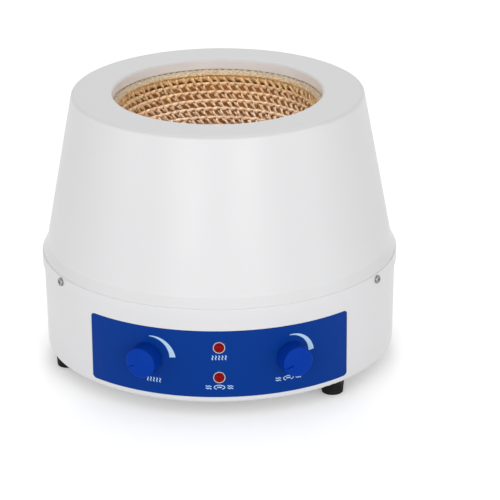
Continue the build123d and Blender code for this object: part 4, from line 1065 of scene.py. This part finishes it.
def narrow_lamp(name, place, power):
    """Lamp whose beam just fills the nest's mouth."""
    mouth = Vector((0, 0, HEM_HIGH))
    lamp = hang_lamp(name, "SPOT", place, power, mouth)
    lamp.shadow_soft_size = NEST_LAMP_RADIUS
    lamp.spot_size = 2 * atan2(NEST_BEAM * COLLAR_RADIUS, (Vector(place) - mouth).length)
    lamp.spot_blend = NEST_BEAM_BLEND


def place_camera(studio):
    """Camera on the front, at a distance along the line that looks down by pitch at the aim height."""
    camera = bpy.data.cameras.new("camera")
    camera.sensor_width = 36
    camera.lens = studio.lens
    camera.shift_x, camera.shift_y = studio.shift_x, studio.shift_y
    camera.clip_end = 50
    made = bpy.data.objects.new("camera", camera)
    level = studio.distance * cos(studio.pitch)
    made.location = (
        level * sin(studio.turn), -level * cos(studio.turn), studio.aim + studio.distance * sin(studio.pitch)
    )
    look = Euler((pi / 2 - studio.pitch, 0, studio.turn)).to_matrix()
    made.rotation_euler = (look @ Euler((0, 0, studio.roll)).to_matrix()).to_euler()
    bpy.context.scene.collection.objects.link(made)
    bpy.context.scene.camera = made


# ---- sidebar and registration
STEPS = (
    MANTLE_OT_finish_pieces,
    MANTLE_OT_lay_cloth,
    MANTLE_OT_wind_cords,
    MANTLE_OT_work_loops,
    MANTLE_OT_work_floats,
    MANTLE_OT_sew_hem,
    MANTLE_OT_sew_thread_and_shade,
    MANTLE_OT_print_panel,
    MANTLE_OT_studio,
)


class MANTLE_PT_sidebar(bpy.types.Panel):
    """Steps that dress the heating mantle"""

    bl_idname = "MANTLE_PT_sidebar"
    bl_label = "Heating mantle"
    bl_space_type = "VIEW_3D"
    bl_region_type = "UI"
    bl_category = "Mantle"

    def draw(self, context):
        for step in STEPS:
            self.layout.operator(step.bl_idname)
        for group in ("mantle_nest", "mantle_colours", "mantle_studio"):
            settings = getattr(context.scene, group)
            for name in settings.bl_rna.properties.keys():
                if name not in ("rna_type", "name"):
                    self.layout.prop(settings, name)


GROUPS = {"mantle_nest": NestSizes, "mantle_colours": FinishColours, "mantle_studio": StudioSettings}


def register():
    for kind in (*GROUPS.values(), *STEPS, MANTLE_PT_sidebar):
        bpy.utils.register_class(kind)
    for name, group in GROUPS.items():
        setattr(bpy.types.Scene, name, PointerProperty(type=group))


def unregister():
    for name in GROUPS:
        delattr(bpy.types.Scene, name)
    for kind in (MANTLE_PT_sidebar, *reversed(STEPS), *GROUPS.values()):
        bpy.utils.unregister_class(kind)


def main():
    register()
    for step in STEPS:
        family, name = step.bl_idname.split(".")
        getattr(getattr(bpy.ops, family), name)()


if __name__ == "__main__":
    main()
